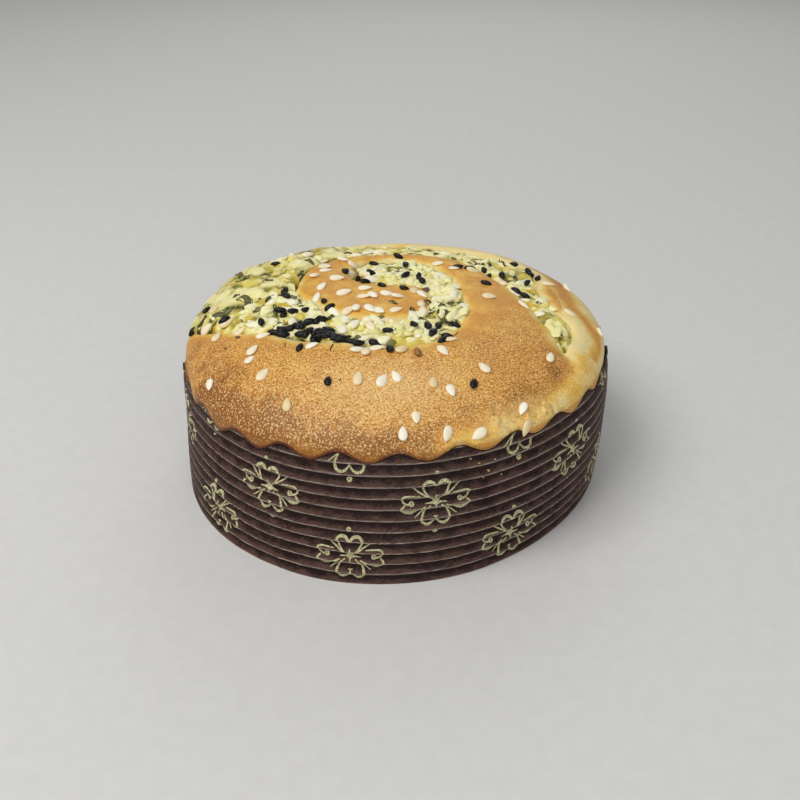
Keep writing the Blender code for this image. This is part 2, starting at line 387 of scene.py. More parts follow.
class Finish:
    """A surface under construction: one Principled shader and the nodes that feed it."""

    def __init__(self, name: str, roughness: float, **sockets: float) -> None:
        """Starts a finish with the values that are the same all over it."""
        self.material = bpy.data.materials.new(name)
        self.material.use_nodes = True
        self.tree = self.material.node_tree
        self.shader = self.tree.nodes["Principled BSDF"]
        self.shader.inputs["Roughness"].default_value = roughness
        for label, value in sockets.items():
            self.shader.inputs[label.replace("_", " ")].default_value = value
        self.place = self.tree.nodes.new("ShaderNodeTexCoord").outputs["Object"]

    def noise(
        self, size: float, detail: float = 2.0, rough: float = 0.5, stretch: Vector | None = None
    ) -> Socket:
        """Adds noise whose grains are about the given size."""
        node = self.tree.nodes.new("ShaderNodeTexNoise")
        node.inputs["Scale"].default_value = 1.0 / size
        node.inputs["Detail"].default_value = detail
        node.inputs["Roughness"].default_value = rough
        source = self.place
        if stretch is not None:
            mapping = self.tree.nodes.new("ShaderNodeMapping")
            mapping.inputs["Scale"].default_value = stretch
            self.tree.links.new(source, mapping.inputs["Vector"])
            source = mapping.outputs["Vector"]
        self.tree.links.new(source, node.inputs["Vector"])
        return node.outputs["Fac"]

    def painted(self, label: str) -> Socket:
        """Reads a value painted on the mesh."""
        node = self.tree.nodes.new("ShaderNodeAttribute")
        node.attribute_name = label
        return node.outputs["Fac"]

    def ramp(self, source: Socket, low: float, high: float, bottom: float = 0.0, top: float = 1.0) -> Socket:
        """Stretches a value between two limits, smoothly."""
        node = self.tree.nodes.new("ShaderNodeMapRange")
        node.interpolation_type = "SMOOTHSTEP"
        limits = {"From Min": low, "From Max": high, "To Min": bottom, "To Max": top}
        for label, value in limits.items():
            node.inputs[label].default_value = value
        self.tree.links.new(source, node.inputs["Value"])
        return node.outputs["Result"]

    def feed(self, socket: Socket, value: Socket | Colour | float) -> None:
        """Gives a socket a constant, or links it to what another node gives."""
        if isinstance(value, (int, float, tuple)):
            socket.default_value = value
        else:
            self.tree.links.new(value, socket)

    def combine(self, kind: Sum, first: Socket, second: Socket | float) -> Socket:
        """Combines two values."""
        node = self.tree.nodes.new("ShaderNodeMath")
        node.operation = kind.value
        self.feed(node.inputs[0], first)
        self.feed(node.inputs[1], second)
        return node.outputs["Value"]

    def add(self, first: Socket, second: Socket | float) -> Socket:
        """Adds two values."""
        return self.combine(Sum.ADD, first, second)

    def times(self, first: Socket, second: Socket | float) -> Socket:
        """Multiplies two values."""
        return self.combine(Sum.MULTIPLY, first, second)

    def mix(self, share: Socket, first: Socket | Colour, second: Socket | Colour) -> Socket:
        """Mixes two colours by a share."""
        node = self.tree.nodes.new("ShaderNodeMix")
        node.data_type = "RGBA"
        for number, value in ((0, share), (6, first), (7, second)):
            self.feed(node.inputs[number], value)
        return node.outputs[2]

    def colour(self, source: Socket) -> None:
        """Feeds the finish's colour."""
        self.tree.links.new(source, self.shader.inputs["Base Color"])

    def roughness(self, source: Socket) -> None:
        """Feeds the finish's roughness."""
        self.tree.links.new(source, self.shader.inputs["Roughness"])

    def glow(self, scale: float, radius: tuple[float, float, float]) -> None:
        """Sets how far light wanders under the surface, and how far in each colour."""
        self.shader.inputs["Subsurface Radius"].default_value = radius
        self.shader.inputs["Subsurface Scale"].default_value = scale

    def bump(self, source: Socket, height: float, strength: float) -> None:
        """Adds low relief of a given height."""
        node = self.tree.nodes.new("ShaderNodeBump")
        node.inputs["Distance"].default_value = height
        node.inputs["Strength"].default_value = strength
        self.tree.links.new(source, node.inputs["Height"])
        before = self.shader.inputs["Normal"].links
        if before:
            self.tree.links.new(before[0].from_socket, node.inputs["Normal"])
        self.tree.links.new(node.outputs["Normal"], self.shader.inputs["Normal"])


@dataclass(frozen=True)
class PaperFinish:
    """Dark brown greaseproof paper: painted shade under each rib's ridge, painted light above it, and pale
    ridge lines that are partly wear and partly painted highlight.
    """

    deep: Colour = srgb(35, 20, 18)
    # The paper's colour where painted light falls on a rib, and in its paler mottle
    lit_and_mottled_paper: Colour = srgb(88, 64, 56)
    # Pale ridge lines: partly wear, partly painted highlight along each crest
    ridge_wear_and_highlight: Colour = srgb(206, 190, 176)
    roughness: float = 0.55
    fibre_size: float = 0.45 * MM
    mottle_size: float = 3.0 * MM

    def make(self) -> bpy.types.Material:
        """Builds the paper."""
        finish = Finish("brown_paper", self.roughness, Specular_IOR_Level=0.15)
        fibre = finish.noise(self.fibre_size, 4.0, 0.75)
        mottle = finish.noise(self.mottle_size, 4.0, 0.65, Vector((1.0, 1.0, 2.0)))
        # Painted light and shade on the ribs, broken up by the mottle and fibre, mix the dark paper towards
        # its lit colour
        rib_painted_light = finish.add(finish.painted("rib_painted_light"), finish.ramp(mottle, 0.3, 0.7, -0.45, 0.45))
        rib_painted_light = finish.add(rib_painted_light, finish.ramp(fibre, 0.35, 0.65, -0.3, 0.3))
        base = finish.mix(finish.ramp(rib_painted_light, -0.1, 1.15), self.deep, self.lit_and_mottled_paper)
        # Ridge lines, partly worn pale and partly a painted highlight, broken by the mottle
        share = finish.times(finish.painted("ridge_wear_and_highlight"), finish.ramp(mottle, 0.3, 0.55, 0.45, 1.0))
        finish.colour(finish.mix(share, base, self.ridge_wear_and_highlight))
        finish.bump(fibre, 0.04 * MM, 0.6)
        finish.roughness(finish.ramp(mottle, 0.3, 0.7, 0.45, 0.62))
        return finish.material


@dataclass(frozen=True)
class GoldFinish:
    """Matt olive-gold ink, grainy where the paper shows through."""

    ink: Colour = srgb(206, 202, 156)
    thin: Colour = srgb(126, 114, 84)
    roughness: float = 0.5
    speck_size: float = 0.28 * MM

    def make(self) -> bpy.types.Material:
        """Builds the ink."""
        finish = Finish("gold_ink", self.roughness, Specular_IOR_Level=0.4)
        speck = finish.noise(self.speck_size, 2.0, 0.6)
        finish.colour(finish.mix(finish.ramp(speck, 0.46, 0.62), self.ink, self.thin))
        return finish.material


@dataclass(frozen=True)
class CrustFinish:
    """Baked dough: pale where it stayed covered, golden brown and fine-speckled on its rolls."""

    pale: Colour = srgb(240, 220, 154)
    yellow: Colour = srgb(236, 190, 88)
    golden: Colour = srgb(214, 152, 64)
    brown: Colour = srgb(146, 86, 22)
    speck: Colour = srgb(252, 220, 158)
    crumb: Colour = srgb(248, 232, 178)
    burnt: Colour = srgb(88, 28, 5)
    roughness: float = 0.5
    cloud_size: float = 7.0 * MM
    patch_size: float = 2.2 * MM
    grain_size: float = 0.42 * MM
    pore_size: float = 1.0 * MM

    def make(self) -> bpy.types.Material:
        """Builds the crust."""
        finish = Finish("baked_dough", self.roughness, Specular_IOR_Level=0.3, Subsurface_Weight=0.06)
        finish.glow(0.8 * MM, (1.0, 0.5, 0.25))
        cloud = finish.noise(self.cloud_size, 3.0, 0.55)
        patch = finish.noise(self.patch_size, 3.0, 0.6)
        level = finish.add(finish.painted("bake"), finish.ramp(cloud, 0.3, 0.7, -0.13, 0.13))
        level = finish.add(level, finish.ramp(patch, 0.3, 0.7, -0.06, 0.06))
        base = finish.mix(finish.ramp(level, 0.04, 0.3), self.pale, self.yellow)
        base = finish.mix(finish.ramp(level, 0.26, 0.56), base, self.golden)
        base = finish.mix(finish.ramp(level, 0.6, 1.0), base, self.brown)
        fine = finish.noise(self.grain_size, 3.0, 0.72)
        speckle = finish.painted("speckle")
        grainy = finish.add(fine, finish.times(finish.painted("pale_specks_and_highlight"), 0.05))
        light = finish.times(finish.ramp(grainy, 0.53, 0.61), speckle)
        dark = finish.times(finish.ramp(grainy, 0.49, 0.39), speckle)
        # A broad painted highlight on the front belly, over its paler grain
        base = finish.mix(finish.times(finish.painted("pale_specks_and_highlight"), 0.25), base, self.speck)
        base = finish.mix(finish.times(light, 0.76), base, self.speck)
        base = finish.mix(finish.times(dark, 0.8), base, self.brown)
        torn = finish.noise(self.pore_size, 4.0, 0.7)
        base = finish.mix(finish.times(finish.painted("porous"), 0.22), base, self.crumb)
        # Darker pores in the torn crumb: painted shade in its holes
        pore_shade = finish.times(finish.painted("porous"), finish.ramp(torn, 0.54, 0.64))
        base = finish.mix(finish.times(pore_shade, 0.55), base, self.brown)
        finish.colour(finish.mix(finish.painted("burnt"), base, self.burnt))
        finish.bump(fine, 0.12 * MM, 0.55)
        finish.bump(patch, 0.25 * MM, 0.35)
        return finish.material


@dataclass(frozen=True)
class FillingFinish:
    """Moist crumbly cheese, stained yellow-green by the spinach."""

    white: Colour = srgb(250, 242, 178)
    cream: Colour = srgb(228, 210, 104)
    yellow: Colour = srgb(214, 178, 36)
    green: Colour = srgb(136, 128, 40)
    # Olive for the painted shade in the crevices
    dark: Colour = srgb(64, 66, 34)
    roughness: float = 0.38
    stain_size: float = 4.5 * MM
    yolk_size: float = 6.0 * MM
    grain_size: float = 0.8 * MM

    def make(self) -> bpy.types.Material:
        """Builds the cheese and spinach."""
        finish = Finish("cheese_filling", self.roughness, Specular_IOR_Level=0.45, Subsurface_Weight=0.12)
        finish.glow(1.0 * MM, (1.0, 0.85, 0.4))
        stain = finish.noise(self.stain_size, 4.0, 0.62)
        yolk = finish.noise(self.yolk_size, 2.0, 0.5, Vector((1.0, 1.3, 0.8)))
        fine = finish.noise(self.grain_size, 3.0, 0.6)
        crease = finish.painted("crease")
        tint = finish.add(stain, finish.times(crease, 0.2))
        tint = finish.add(tint, finish.times(finish.painted("stained"), 0.16))
        base = finish.mix(finish.ramp(tint, 0.44, 0.7), self.cream, self.green)
        base = finish.mix(finish.ramp(yolk, 0.56, 0.66, 0.0, 0.85), base, self.yellow)
        base = finish.mix(finish.ramp(finish.painted("curd"), 0.2, 0.7, 0.0, 0.9), base, self.white)
        # Painted shade: darker olive in the crevices between lumps
        shade = finish.times(finish.ramp(crease, 0.4, 0.9), finish.ramp(stain, 0.38, 0.58))
        finish.colour(finish.mix(finish.times(shade, 0.85), base, self.dark))
        finish.bump(fine, 0.12 * MM, 0.5)
        return finish.material


@dataclass(frozen=True)
class TintFinish:
    """A small thing's finish, its tint shifting from one to the next."""

    name: str
    first: Colour
    second: Colour
    third: Colour
    roughness: float
    gloss: float = 0.4
    glow: float = 0.0
    relief: float = 0.02 * MM
    fleck: float = 0.25
    grain_size: float = 0.4 * MM

    def make(self) -> bpy.types.Material:
        """Builds the finish from the tint painted on each thing."""
        finish = Finish(
            self.name, self.roughness, Specular_IOR_Level=self.gloss, Subsurface_Weight=self.glow
        )
        finish.glow(0.6 * MM, (1.0, 0.8, 0.5))
        tint = finish.painted("tint")
        fine = finish.noise(self.grain_size, 2.0, 0.6)
        base = finish.mix(finish.ramp(tint, 0.1, 0.55), self.first, self.second)
        base = finish.mix(finish.ramp(tint, 0.6, 1.0), base, self.third)
        finish.colour(finish.mix(finish.ramp(fine, 0.4, 0.7, 0.0, self.fleck), base, self.third))
        finish.bump(fine, self.relief, 0.6)
        return finish.material


@dataclass
class PaperCase:
    """The case: ribbed wall, scalloped rim and flat base, in one piece."""

    form: PieForm
    ribs: int = 11
    rib_pitch: float = 3.05 * MM
    lowest_rib: float = 2.8 * MM
    rib_depth: float = 0.72 * MM
    scoop_skew: float = 1.7
    paper: float = 0.45 * MM
    floor_height: float = 0.8 * MM
    inner_radius: float = 53.45 * MM
    inner_lip: float = 3.0 * MM
    sectors: int = 696
    rows: int = 118
    ridge_width: float = 0.085
    rib_sway: tuple[float, float] = (0.22 * MM, 0.16 * MM)
    depth_change: float = 0.25
    rim_flattening: float = 0.35
    wall_unevenness: float = 0.12 * MM
    # Where the wall leaves the circle: turn in degrees, reach in radians, then millimetres outwards:
    # the left side's foot and top, the right side's belly and top, and the front corner's foot
    left_side: tuple[float, float, float, float] = (195, 0.75, 0.35, -1.65)
    right_side: tuple[float, float, float, float] = (-15, 0.6, 0.55, -0.9)
    front_corner: tuple[float, float, float] = (-42, 0.5, -1.1)
    wobble: Grain = Grain(21)

    def rib_phase(self, angle: Array, z: Array) -> Array:
        """Counts ribs up the wall, each whole number on a ridge line."""
        ring = np.stack([np.cos(angle), np.sin(angle), z * 0 + 0.4], -1)
        low = np.stack([np.cos(angle), np.sin(angle), z * 40.0], -1)
        sway = self.rib_sway[0] * self.wobble.read(ring, 0.6)
        sway = sway + self.rib_sway[1] * self.wobble.read(low, 0.13)
        return (z + sway - self.lowest_rib) / self.rib_pitch

    def wall(self, angle: Array, z: Array) -> tuple[Array, Array, Array]:
        """Finds the ribbed wall.

        Args:
            angle: Angles round the case.
            z: Heights.

        Returns:
            The outer radius there, how near a ridge line it is, and how much painted light it gets (painted
            shade just under a ridge, lit just above one), from 0 to 1.
        """
        phase = self.rib_phase(angle, z)
        share = phase - np.floor(phase)
        scoop = np.sin(math.pi * share**self.scoop_skew)
        ring = np.stack([np.cos(angle), np.sin(angle), z * 30.0], -1)
        depth = self.rib_depth * (1.0 + self.depth_change * self.wobble.read(ring, 0.35))
        depth = depth * (1.0 - self.rim_flattening * smooth_step(33.0 * MM, 34.5 * MM, z))
        radius = self.form.case_radius - depth * scoop
        radius = radius + self.wall_unevenness * self.wobble.read(ring + 3.0, 0.3) + self.stance(angle, z)
        near = np.minimum(share, 1.0 - share)
        # Painted light and shade on each rib: lit just above its ridge line, fading to painted shade under
        # the ridge above
        rib_painted_light = smooth_step(0.62, 0.05, share)
        # A thin pale line on each ridge: partly wear, partly painted highlight
        ridge_wear_and_highlight = 1.0 - smooth_step(0.0, self.ridge_width, near)
        return np.minimum(radius, self.form.case_radius + 0.2 * MM), ridge_wear_and_highlight, rib_painted_light

    def stance(self, angle: Array, z: Array) -> Array:
        """How far the soft wall stands out of a true circle."""
        up = np.clip(z / self.form.rim_middle, 0.0, 1.0)
        turn, reach, foot, top = self.left_side
        lift = bell_round(angle, turn, reach) * (foot + (top - foot) * up)
        turn, reach, belly, top = self.right_side
        lift = lift + bell_round(angle, turn, reach) * (belly * np.sin(math.pi * up) + top * up**4)
        turn, reach, foot = self.front_corner
        lift = lift + bell_round(angle, turn, reach) * foot * (1.0 - up) ** 2
        return MM * lift

    def build(self) -> bpy.types.Object:
        """Builds the case, dresses it and puts it in its node's place."""
        angle = np.arange(self.sectors) * math.tau / self.sectors
        top = self.form.rim_height(angle)
        # Each row round the case: its radius, height, nearness to a ridge and painted light
        rows = []
        for share in np.linspace(0.0, 1.0, self.rows):
            radius, ridge_wear_and_highlight, rib_painted_light = self.wall(angle, share * top)
            rows.append((radius, share * top, ridge_wear_and_highlight, rib_painted_light))
        plain, upright = np.zeros_like(angle), np.full_like(angle, self.inner_radius)
        inside = np.minimum(rows[-1][0] - self.paper, self.inner_radius + 0.5 * MM)
        rows += [(inside, top, plain, plain), (upright, top - self.inner_lip, plain, plain)]
        rows.append((upright, plain + self.floor_height, plain, plain))
        points = np.stack([np.stack([r * np.cos(angle), r * np.sin(angle), z], -1) for r, z, *_ in rows])
        last = (len(rows) - 1) * self.sectors
        caps = [tuple(range(self.sectors))[::-1], tuple(range(last, last + self.sectors))]
        quads = grid_quads(len(rows), self.sectors, closed=True)
        # The ridge lines, and the painted light and shade of the ribs, painted on the case's points
        painted = {"ridge_wear_and_highlight": 2, "rib_painted_light": 3}
        paint = {label: np.concatenate([row[k] for row in rows]) for label, k in painted.items()}
        skin = Skin(self.form.settle(points.reshape(-1, 3)), quads, caps, paint)
        piece = skin.link("ribbed_case", PaperFinish().make(), crease=50.0)
        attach(piece, "root")
        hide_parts("paper_case")
        return piece


@dataclass(frozen=True)
class Stroke:
    """One pen stroke of the ornament, in millimetres: its points, and its first, middle and last width."""

    points: Pairs
    widths: tuple[float, float, float]
    closed: bool = False
    step: float = 0.22
    pen: float = 0.84

    def mirrored(self) -> Stroke:
        """The same stroke on the other side of the ornament."""
        return Stroke(tuple((-x, y) for x, y in self.points), self.widths, self.closed)

    def trace(self) -> tuple[Array, Array]:
        """Runs a smooth curve through the points.

        Returns:
            Samples along the stroke and its width at each.
        """
        knots = np.array(self.points, dtype=float)
        lengths = np.concatenate([[0], np.cumsum(np.linalg.norm(np.diff(knots, axis=0), axis=1))])
        at = np.linspace(0, lengths[-1], max(int(lengths[-1] / self.step), 4))
        slopes = np.gradient(knots, lengths, axis=0)
        if self.closed:
            slopes[0] = slopes[-1] = 0.5 * (slopes[0] + slopes[-1])
        width = self.pen * np.interp(at / lengths[-1], (0.0, 0.5, 1.0), self.widths)
        return smooth_curve(lengths, knots, slopes, at), width


@dataclass
class GoldPrint:
    """The gold ornament: a four-petalled flower, repeated in three staggered rows."""

    form: PieForm
    case: PaperCase
    repeats: int = 9
    # Rows: height of the ornament's middle and its first turn from the front, in degrees
    rows: Pairs = ((7.9 * MM, -9.4), (22.8 * MM, 10.6), (37.4 * MM, -8.9))
    lift: float = 0.045 * MM
    sink: float = 0.10 * MM
    dot_radius: float = 0.34
    rim_gap: float = 0.2 * MM
    foot_gap: float = 0.15 * MM
    shortest: int = 3

    def strokes(self) -> list[Stroke]:
        """Draws the ornament once: petals, wings, whiskers, star and dots."""
        halves = [
            Stroke(
                ((0.0, 3.9), (0.3, 4.5), (0.9, 5.2), (1.7, 5.4), (2.5, 5.1), (2.95, 4.4), (2.9, 3.6)),
                (0.6, 0.85, 0.6),
            ),
            Stroke(((2.9, 3.6), (2.5, 2.7), (1.6, 1.5), (0.8, 0.6), (0.3, 0.1)), (0.55, 0.45, 0.4)),
            Stroke(((1.0, 0.6), (1.85, 1.35), (2.9, 2.2), (4.1, 3.0), (5.2, 4.2)), (0.3, 0.42, 0.35)),
            Stroke(((3.6, 1.85), (5.4, 2.0), (6.7, 2.0), (7.3, 1.8), (7.55, 1.2)), (0.25, 0.4, 0.5)),
            Stroke(((7.55, 1.2), (7.35, 0.5), (6.9, -0.15), (6.3, -0.4), (5.6, -0.3)), (0.55, 0.5, 0.5)),
            Stroke(
                ((6.9, -0.6), (7.55, -1.3), (7.45, -2.1), (6.7, -2.6), (5.5, -2.7), (4.2, -2.1), (2.3, -1.1)),
                (0.4, 1.1, 0.25),
            ),
            Stroke(((1.3, -1.0), (2.9, -2.4), (3.8, -3.2), (4.7, -3.9)), (0.25, 0.42, 0.22)),
            Stroke(((1.1, -1.0), (1.95, -1.6), (2.45, -2.5), (3.0, -3.8), (3.2, -4.8)), (0.25, 0.45, 0.8)),
            Stroke(
                ((3.2, -4.8), (2.9, -5.8), (1.9, -6.3), (0.95, -6.0), (0.3, -5.3), (0.0, -4.7)),
                (0.8, 0.65, 0.4),
            ),
            Stroke(((0.4, -0.25), (1.2, -0.35), (2.4, -0.45)), (0.7, 0.4, 0.2)),
            self.dot(5.4, -0.25, 1.15),
        ]
        whole = [
            Stroke(((0.0, 1.9), (0.0, 0.9), (0.0, 0.0), (0.0, -1.7)), (0.3, 0.9, 0.2)),
            Stroke(((-0.85, -0.3), (0.0, -0.3), (0.85, -0.3)), (0.7, 1.5, 0.7)),
            Stroke(((0.0, -4.9), (0.0, -4.4), (0.0, -3.9)), (0.5, 0.3, 0.25)),
            Stroke(((-0.5, -3.95), (0.0, -4.05), (0.5, -3.95)), (0.2, 0.35, 0.2)),
            self.dot(0.0, 7.7, 1.0),
            self.dot(0.0, -8.3, 1.2),
        ]
        return whole + halves + [stroke.mirrored() for stroke in halves]

    def dot(self, x: float, y: float, size: float) -> Stroke:
        """A small round dot, drawn as a ring that all but closes."""
        reach = self.dot_radius * size
        turns = [math.tau * k / 8 for k in range(9)]
        ring = tuple((x + reach * math.cos(t), y + reach * math.sin(t)) for t in turns)
        return Stroke(ring, (0.5 * size,) * 3, closed=True)

    def lay(self, stroke: Stroke, turn: float, height: float) -> list[Skin]:
        """Lays a stroke on the ribbed wall and cuts it off at the rim.

        Args:
            stroke: The stroke to lay.
            turn: Angle of the ornament's middle.
            height: Height of the ornament's middle.

        Returns:
            Thin closed ribbons, one for each unbroken stretch.
        """
        line, width = stroke.trace()
        along = np.gradient(line, axis=0)
        along /= np.maximum(np.linalg.norm(along, axis=1), 1e-9)[:, None]
        across = np.stack([-along[:, 1], along[:, 0]], 1)
        section = []
        outline = ((-0.5, -self.sink), (-0.5, self.lift), (0, self.lift), (0.5, self.lift), (0.5, -self.sink))
        for share, depth in outline:
            spot = (line + across * width[:, None] * share) * MM
            angle = turn + spot[:, 0] / self.form.case_radius
            z = height + spot[:, 1]
            section.append((angle, z, self.case.wall(angle, z)[0] + depth))
        angle, z, radius = (np.stack(part, 1) for part in zip(*section))
        free = np.all((z < self.form.rim_height(angle) - self.rim_gap) & (z > self.foot_gap), axis=1)
        points = self.form.settle(np.stack([radius * np.cos(angle), radius * np.sin(angle), z], -1))
        edges = np.flatnonzero(np.diff(np.concatenate([[0], free.astype(int), [0]])))
        ribbons = []
        for start, stop in zip(edges[::2], edges[1::2]):
            count, sides = stop - start, len(outline)
            if count < self.shortest:
                continue
            caps = [tuple(range(sides))[::-1], tuple(range(sides * (count - 1), sides * count))]
            quads = grid_quads(count, sides, closed=True)
            ribbons.append(Skin(points[start:stop].reshape(-1, 3), quads, caps))
        return ribbons

    def build(self) -> bpy.types.Object:
        """Prints every repeat of the ornament."""
        ribbons = []
        for height, first in self.rows:
            for repeat in range(self.repeats):
                turn = math.radians(first - 90.0 + repeat * 360.0 / self.repeats)
                for stroke in self.strokes():
                    ribbons += self.lay(stroke, turn, height)
        piece = joined(ribbons).link("gold_print", GoldFinish().make())
        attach(piece, "root")
        return piece


@dataclass(frozen=True)
class Patch:
    """An oval patch on the plan, in millimetres, strongest in its middle."""

    x: float
    y: float
    wide: float
    deep: float

    def strength(self, x: Array, y: Array) -> Array:
        """How strong the patch is at places, from 0 to 1."""
        across, along = (x - self.x * MM) / (self.wide * MM), (y - self.y * MM) / (self.deep * MM)
        return np.exp(-(across**2 + along**2))


@dataclass
class Dough:
    """The coil of baked dough: one roll wound inwards, with rounded lips along its seam."""

    form: PieForm
    cells: int = 286
    rim_crowding: float = 1.25
    lip_drop: float = 1.7 * MM
    lip_width: float = 4.4 * MM
    wall_drop: float = 4.5 * MM
    wall_width: float = 1.3 * MM
    base: float = 1.15 * MM
    # Rows of points down the side: shares of the way to the rim, then millimetres over the rim
    upper_rows: tuple[float, ...] = (0.17, 0.33, 0.5, 0.66, 0.83, 1.0)
    lower_rows: tuple[float, ...] = (0.2, 0.1, 0.0, -0.12, -0.6, -4.0)
    uneven: Grain = Grain(5)
    # How far the dough swells past its plan, round the pie: turn in degrees and millimetres
    swells: Pairs = (
        (0, -0.5), (20, -0.7), (45, -0.2), (70, 0.3), (110, 0.5), (150, 0.3), (175, -0.5), (190, -0.7),
        (201, -0.5), (213, 1.0), (226, 1.75), (290, 1.8), (315, 1.5), (335, 0.7), (350, 0.0), (360, -0.5),
    )
    # The crease where the coil's outer end is tucked against the belly, in millimetres on the plan
    crease: Pairs = (
        (40.0, -21.5), (40.6, -27.0), (36.5, -34.0), (29.0, -41.0), (19.5, -46.0), (11.0, -50.5),
        (6.0, -53.5),
    )
    crease_depth: float = 0.9 * MM
    crease_width: float = 1.8 * MM
    crease_steps: int = 60
    edge_wander: float = 0.6 * MM
    # Soft waves, fine pimples, and the torn crumb's pits and lumps
    waves: float = 0.28 * MM
    pimples: float = 0.05 * MM
    pits: float = 2.0 * MM
    lumps: float = 0.9 * MM
    torn: Patch = Patch(29, -44, 9, 7)
    browned: Patch = Patch(36, -27, 5, 5)
    # The front belly's paler grain, with a painted highlight over it
    pale_grain_and_highlight: Patch = Patch(-1, -41, 17, 8)
    # Where the pale strip at the back browned a little: distance from the seam, and width
    crest_at: float = 7.2 * MM
    crest_width: float = 2.6 * MM
    # How baked, from 0 to 1: at the seam's edge, then what each place adds, loses or has instead
    seam_bake: float = 0.04
    roll_bake: float = 0.39
    outer_roll_bake: float = 0.11
    front_bake: float = 0.44
    left_bake: float = 0.16
    browned_bake: float = 0.22
    tucked_loss: float = 0.72
    covered_bake: float = 0.03
    crest_bake: float = 0.62
    # How dark the caramel is at least, how much darker at most, and where: turn and reach
    caramel_least: float = 0.22
    caramel_more: float = 0.72
    caramel_left: tuple[float, float] = (240, 0.75)
    caramel_right: tuple[float, float] = (0, 0.3)
    # The dough bulges out from just under the rim up to its brink over it
    bulge_from: float = -0.12 * MM
    brink: float = 0.3 * MM

    def swell(self, angle: Array, z: Array) -> Array:
        """How far the dough stands out of its round plan once it is clear of the case."""
        turns, swells = np.array(self.swells).T
        rim = self.form.rim_height(angle)
        full = np.interp(np.degrees(angle) % 360.0, turns, swells) * MM
        return full * smooth_step(rim + self.bulge_from, rim + self.brink, z)

    def plan(self) -> tuple[Array, Array]:
        """Spreads a square of points evenly over the round plan, a little closer near the rim."""
        side = np.linspace(-1.0, 1.0, self.cells + 1)
        u, v = np.meshgrid(side, side)
        x, y = u * np.sqrt(1 - 0.5 * v * v), v * np.sqrt(1 - 0.5 * u * u)
        reach = np.hypot(x, y)
        stretch = (1.0 - (1.0 - np.minimum(reach, 1.0)) ** self.rim_crowding) / np.maximum(reach, 1e-9)
        return x * stretch * self.form.food_radius, y * stretch * self.form.food_radius

    def crease_gap(self, x: Array, y: Array) -> tuple[Array, Array]:
        """Measures places against the crease.

        Args:
            x: Places along X.
            y: Places along Y.

        Returns:
            Distance outwards from the crease, below zero towards the middle, and how far along it.
        """
        knots = np.array(self.crease) * MM
        at = np.linspace(0, len(knots) - 1, self.crease_steps)
        line = np.stack([np.interp(at, range(len(knots)), knots[:, k]) for k in (0, 1)], 1)
        away = np.hypot(x[..., None] - line[:, 0], y[..., None] - line[:, 1])
        best = np.argmin(away, axis=-1)
        outward = np.hypot(x, y) - np.hypot(line[best, 0], line[best, 1])
        nearest = np.take_along_axis(away, best[..., None], -1)[..., 0]
        return nearest * np.sign(outward), best / (self.crease_steps - 1)

    def height(self, x: Array, y: Array) -> tuple[Array, Array]:
        """Finds the dough's top.

        Args:
            x: Places along X.
            y: Places along Y.

        Returns:
            Heights, and distances from the seam.
        """
        here = np.stack([x, y, 0 * x], -1)
        gap = self.form.seam_gap(x, y) + self.edge_wander * self.uneven.layered(here, 5.0 * MM, 3)
        z = self.form.dome(x, y)
        inward = np.clip((self.lip_width - gap) / self.lip_width, 0.0, 1.0)
        z = z - self.lip_drop * (1.0 - np.sqrt(1.0 - inward**2 * 0.995))
        z = z - self.wall_drop * smooth_step(0.0, self.wall_width, -gap)
        fold, along = self.crease_gap(x, y)
        depth = self.crease_depth * (1.0 - along) ** 0.6
        z = z - depth * bell(fold, self.crease_width) * smooth_step(-0.5 * MM, 0.5 * MM, gap)
        torn = self.pits * np.minimum(self.uneven.read(here + 1.0, 1.3 * MM) + 0.2, 0.0)
        torn = torn + self.lumps * self.uneven.layered(here + 2.0, 2.6 * MM, 3)
        z = z + torn * self.porous(x, y, fold)
        z = z + self.waves * self.uneven.layered(here + 0.2, 11.0 * MM, 2)
        return z + self.pimples * self.uneven.read(here, 1.3 * MM), gap

    def porous(self, x: Array, y: Array, fold: Array) -> Array:
        """How torn and open the crumb is, along the crease's front end."""
        near = np.clip(1.6 * self.torn.strength(x, y), 0.0, 1.0)
        return near * smooth_step(-3.0 * MM, 1.0 * MM, fold)

    def baked(self, x: Array, y: Array, z: Array, gap: Array) -> dict[str, Array]:
        """Works out how the oven coloured each place.

        Args:
            x: Places along X.
            y: Places along Y.
            z: Heights there.
            gap: Distances from the seam.

        Returns:
            Painted values from 0 to 1: how baked, speckled, burnt and porous, and the front belly's paler
                grain with a painted highlight over it.
        """
        angle, reach = np.arctan2(y, x), np.hypot(x, y)
        fold, _ = self.crease_gap(x, y)
        # The end that is tucked under the belly stayed pale
        tucked = smooth_step(-2.5 * MM, 2.0 * MM, fold) * (y < -16 * MM) * smooth_step(3 * MM, 15 * MM, x)
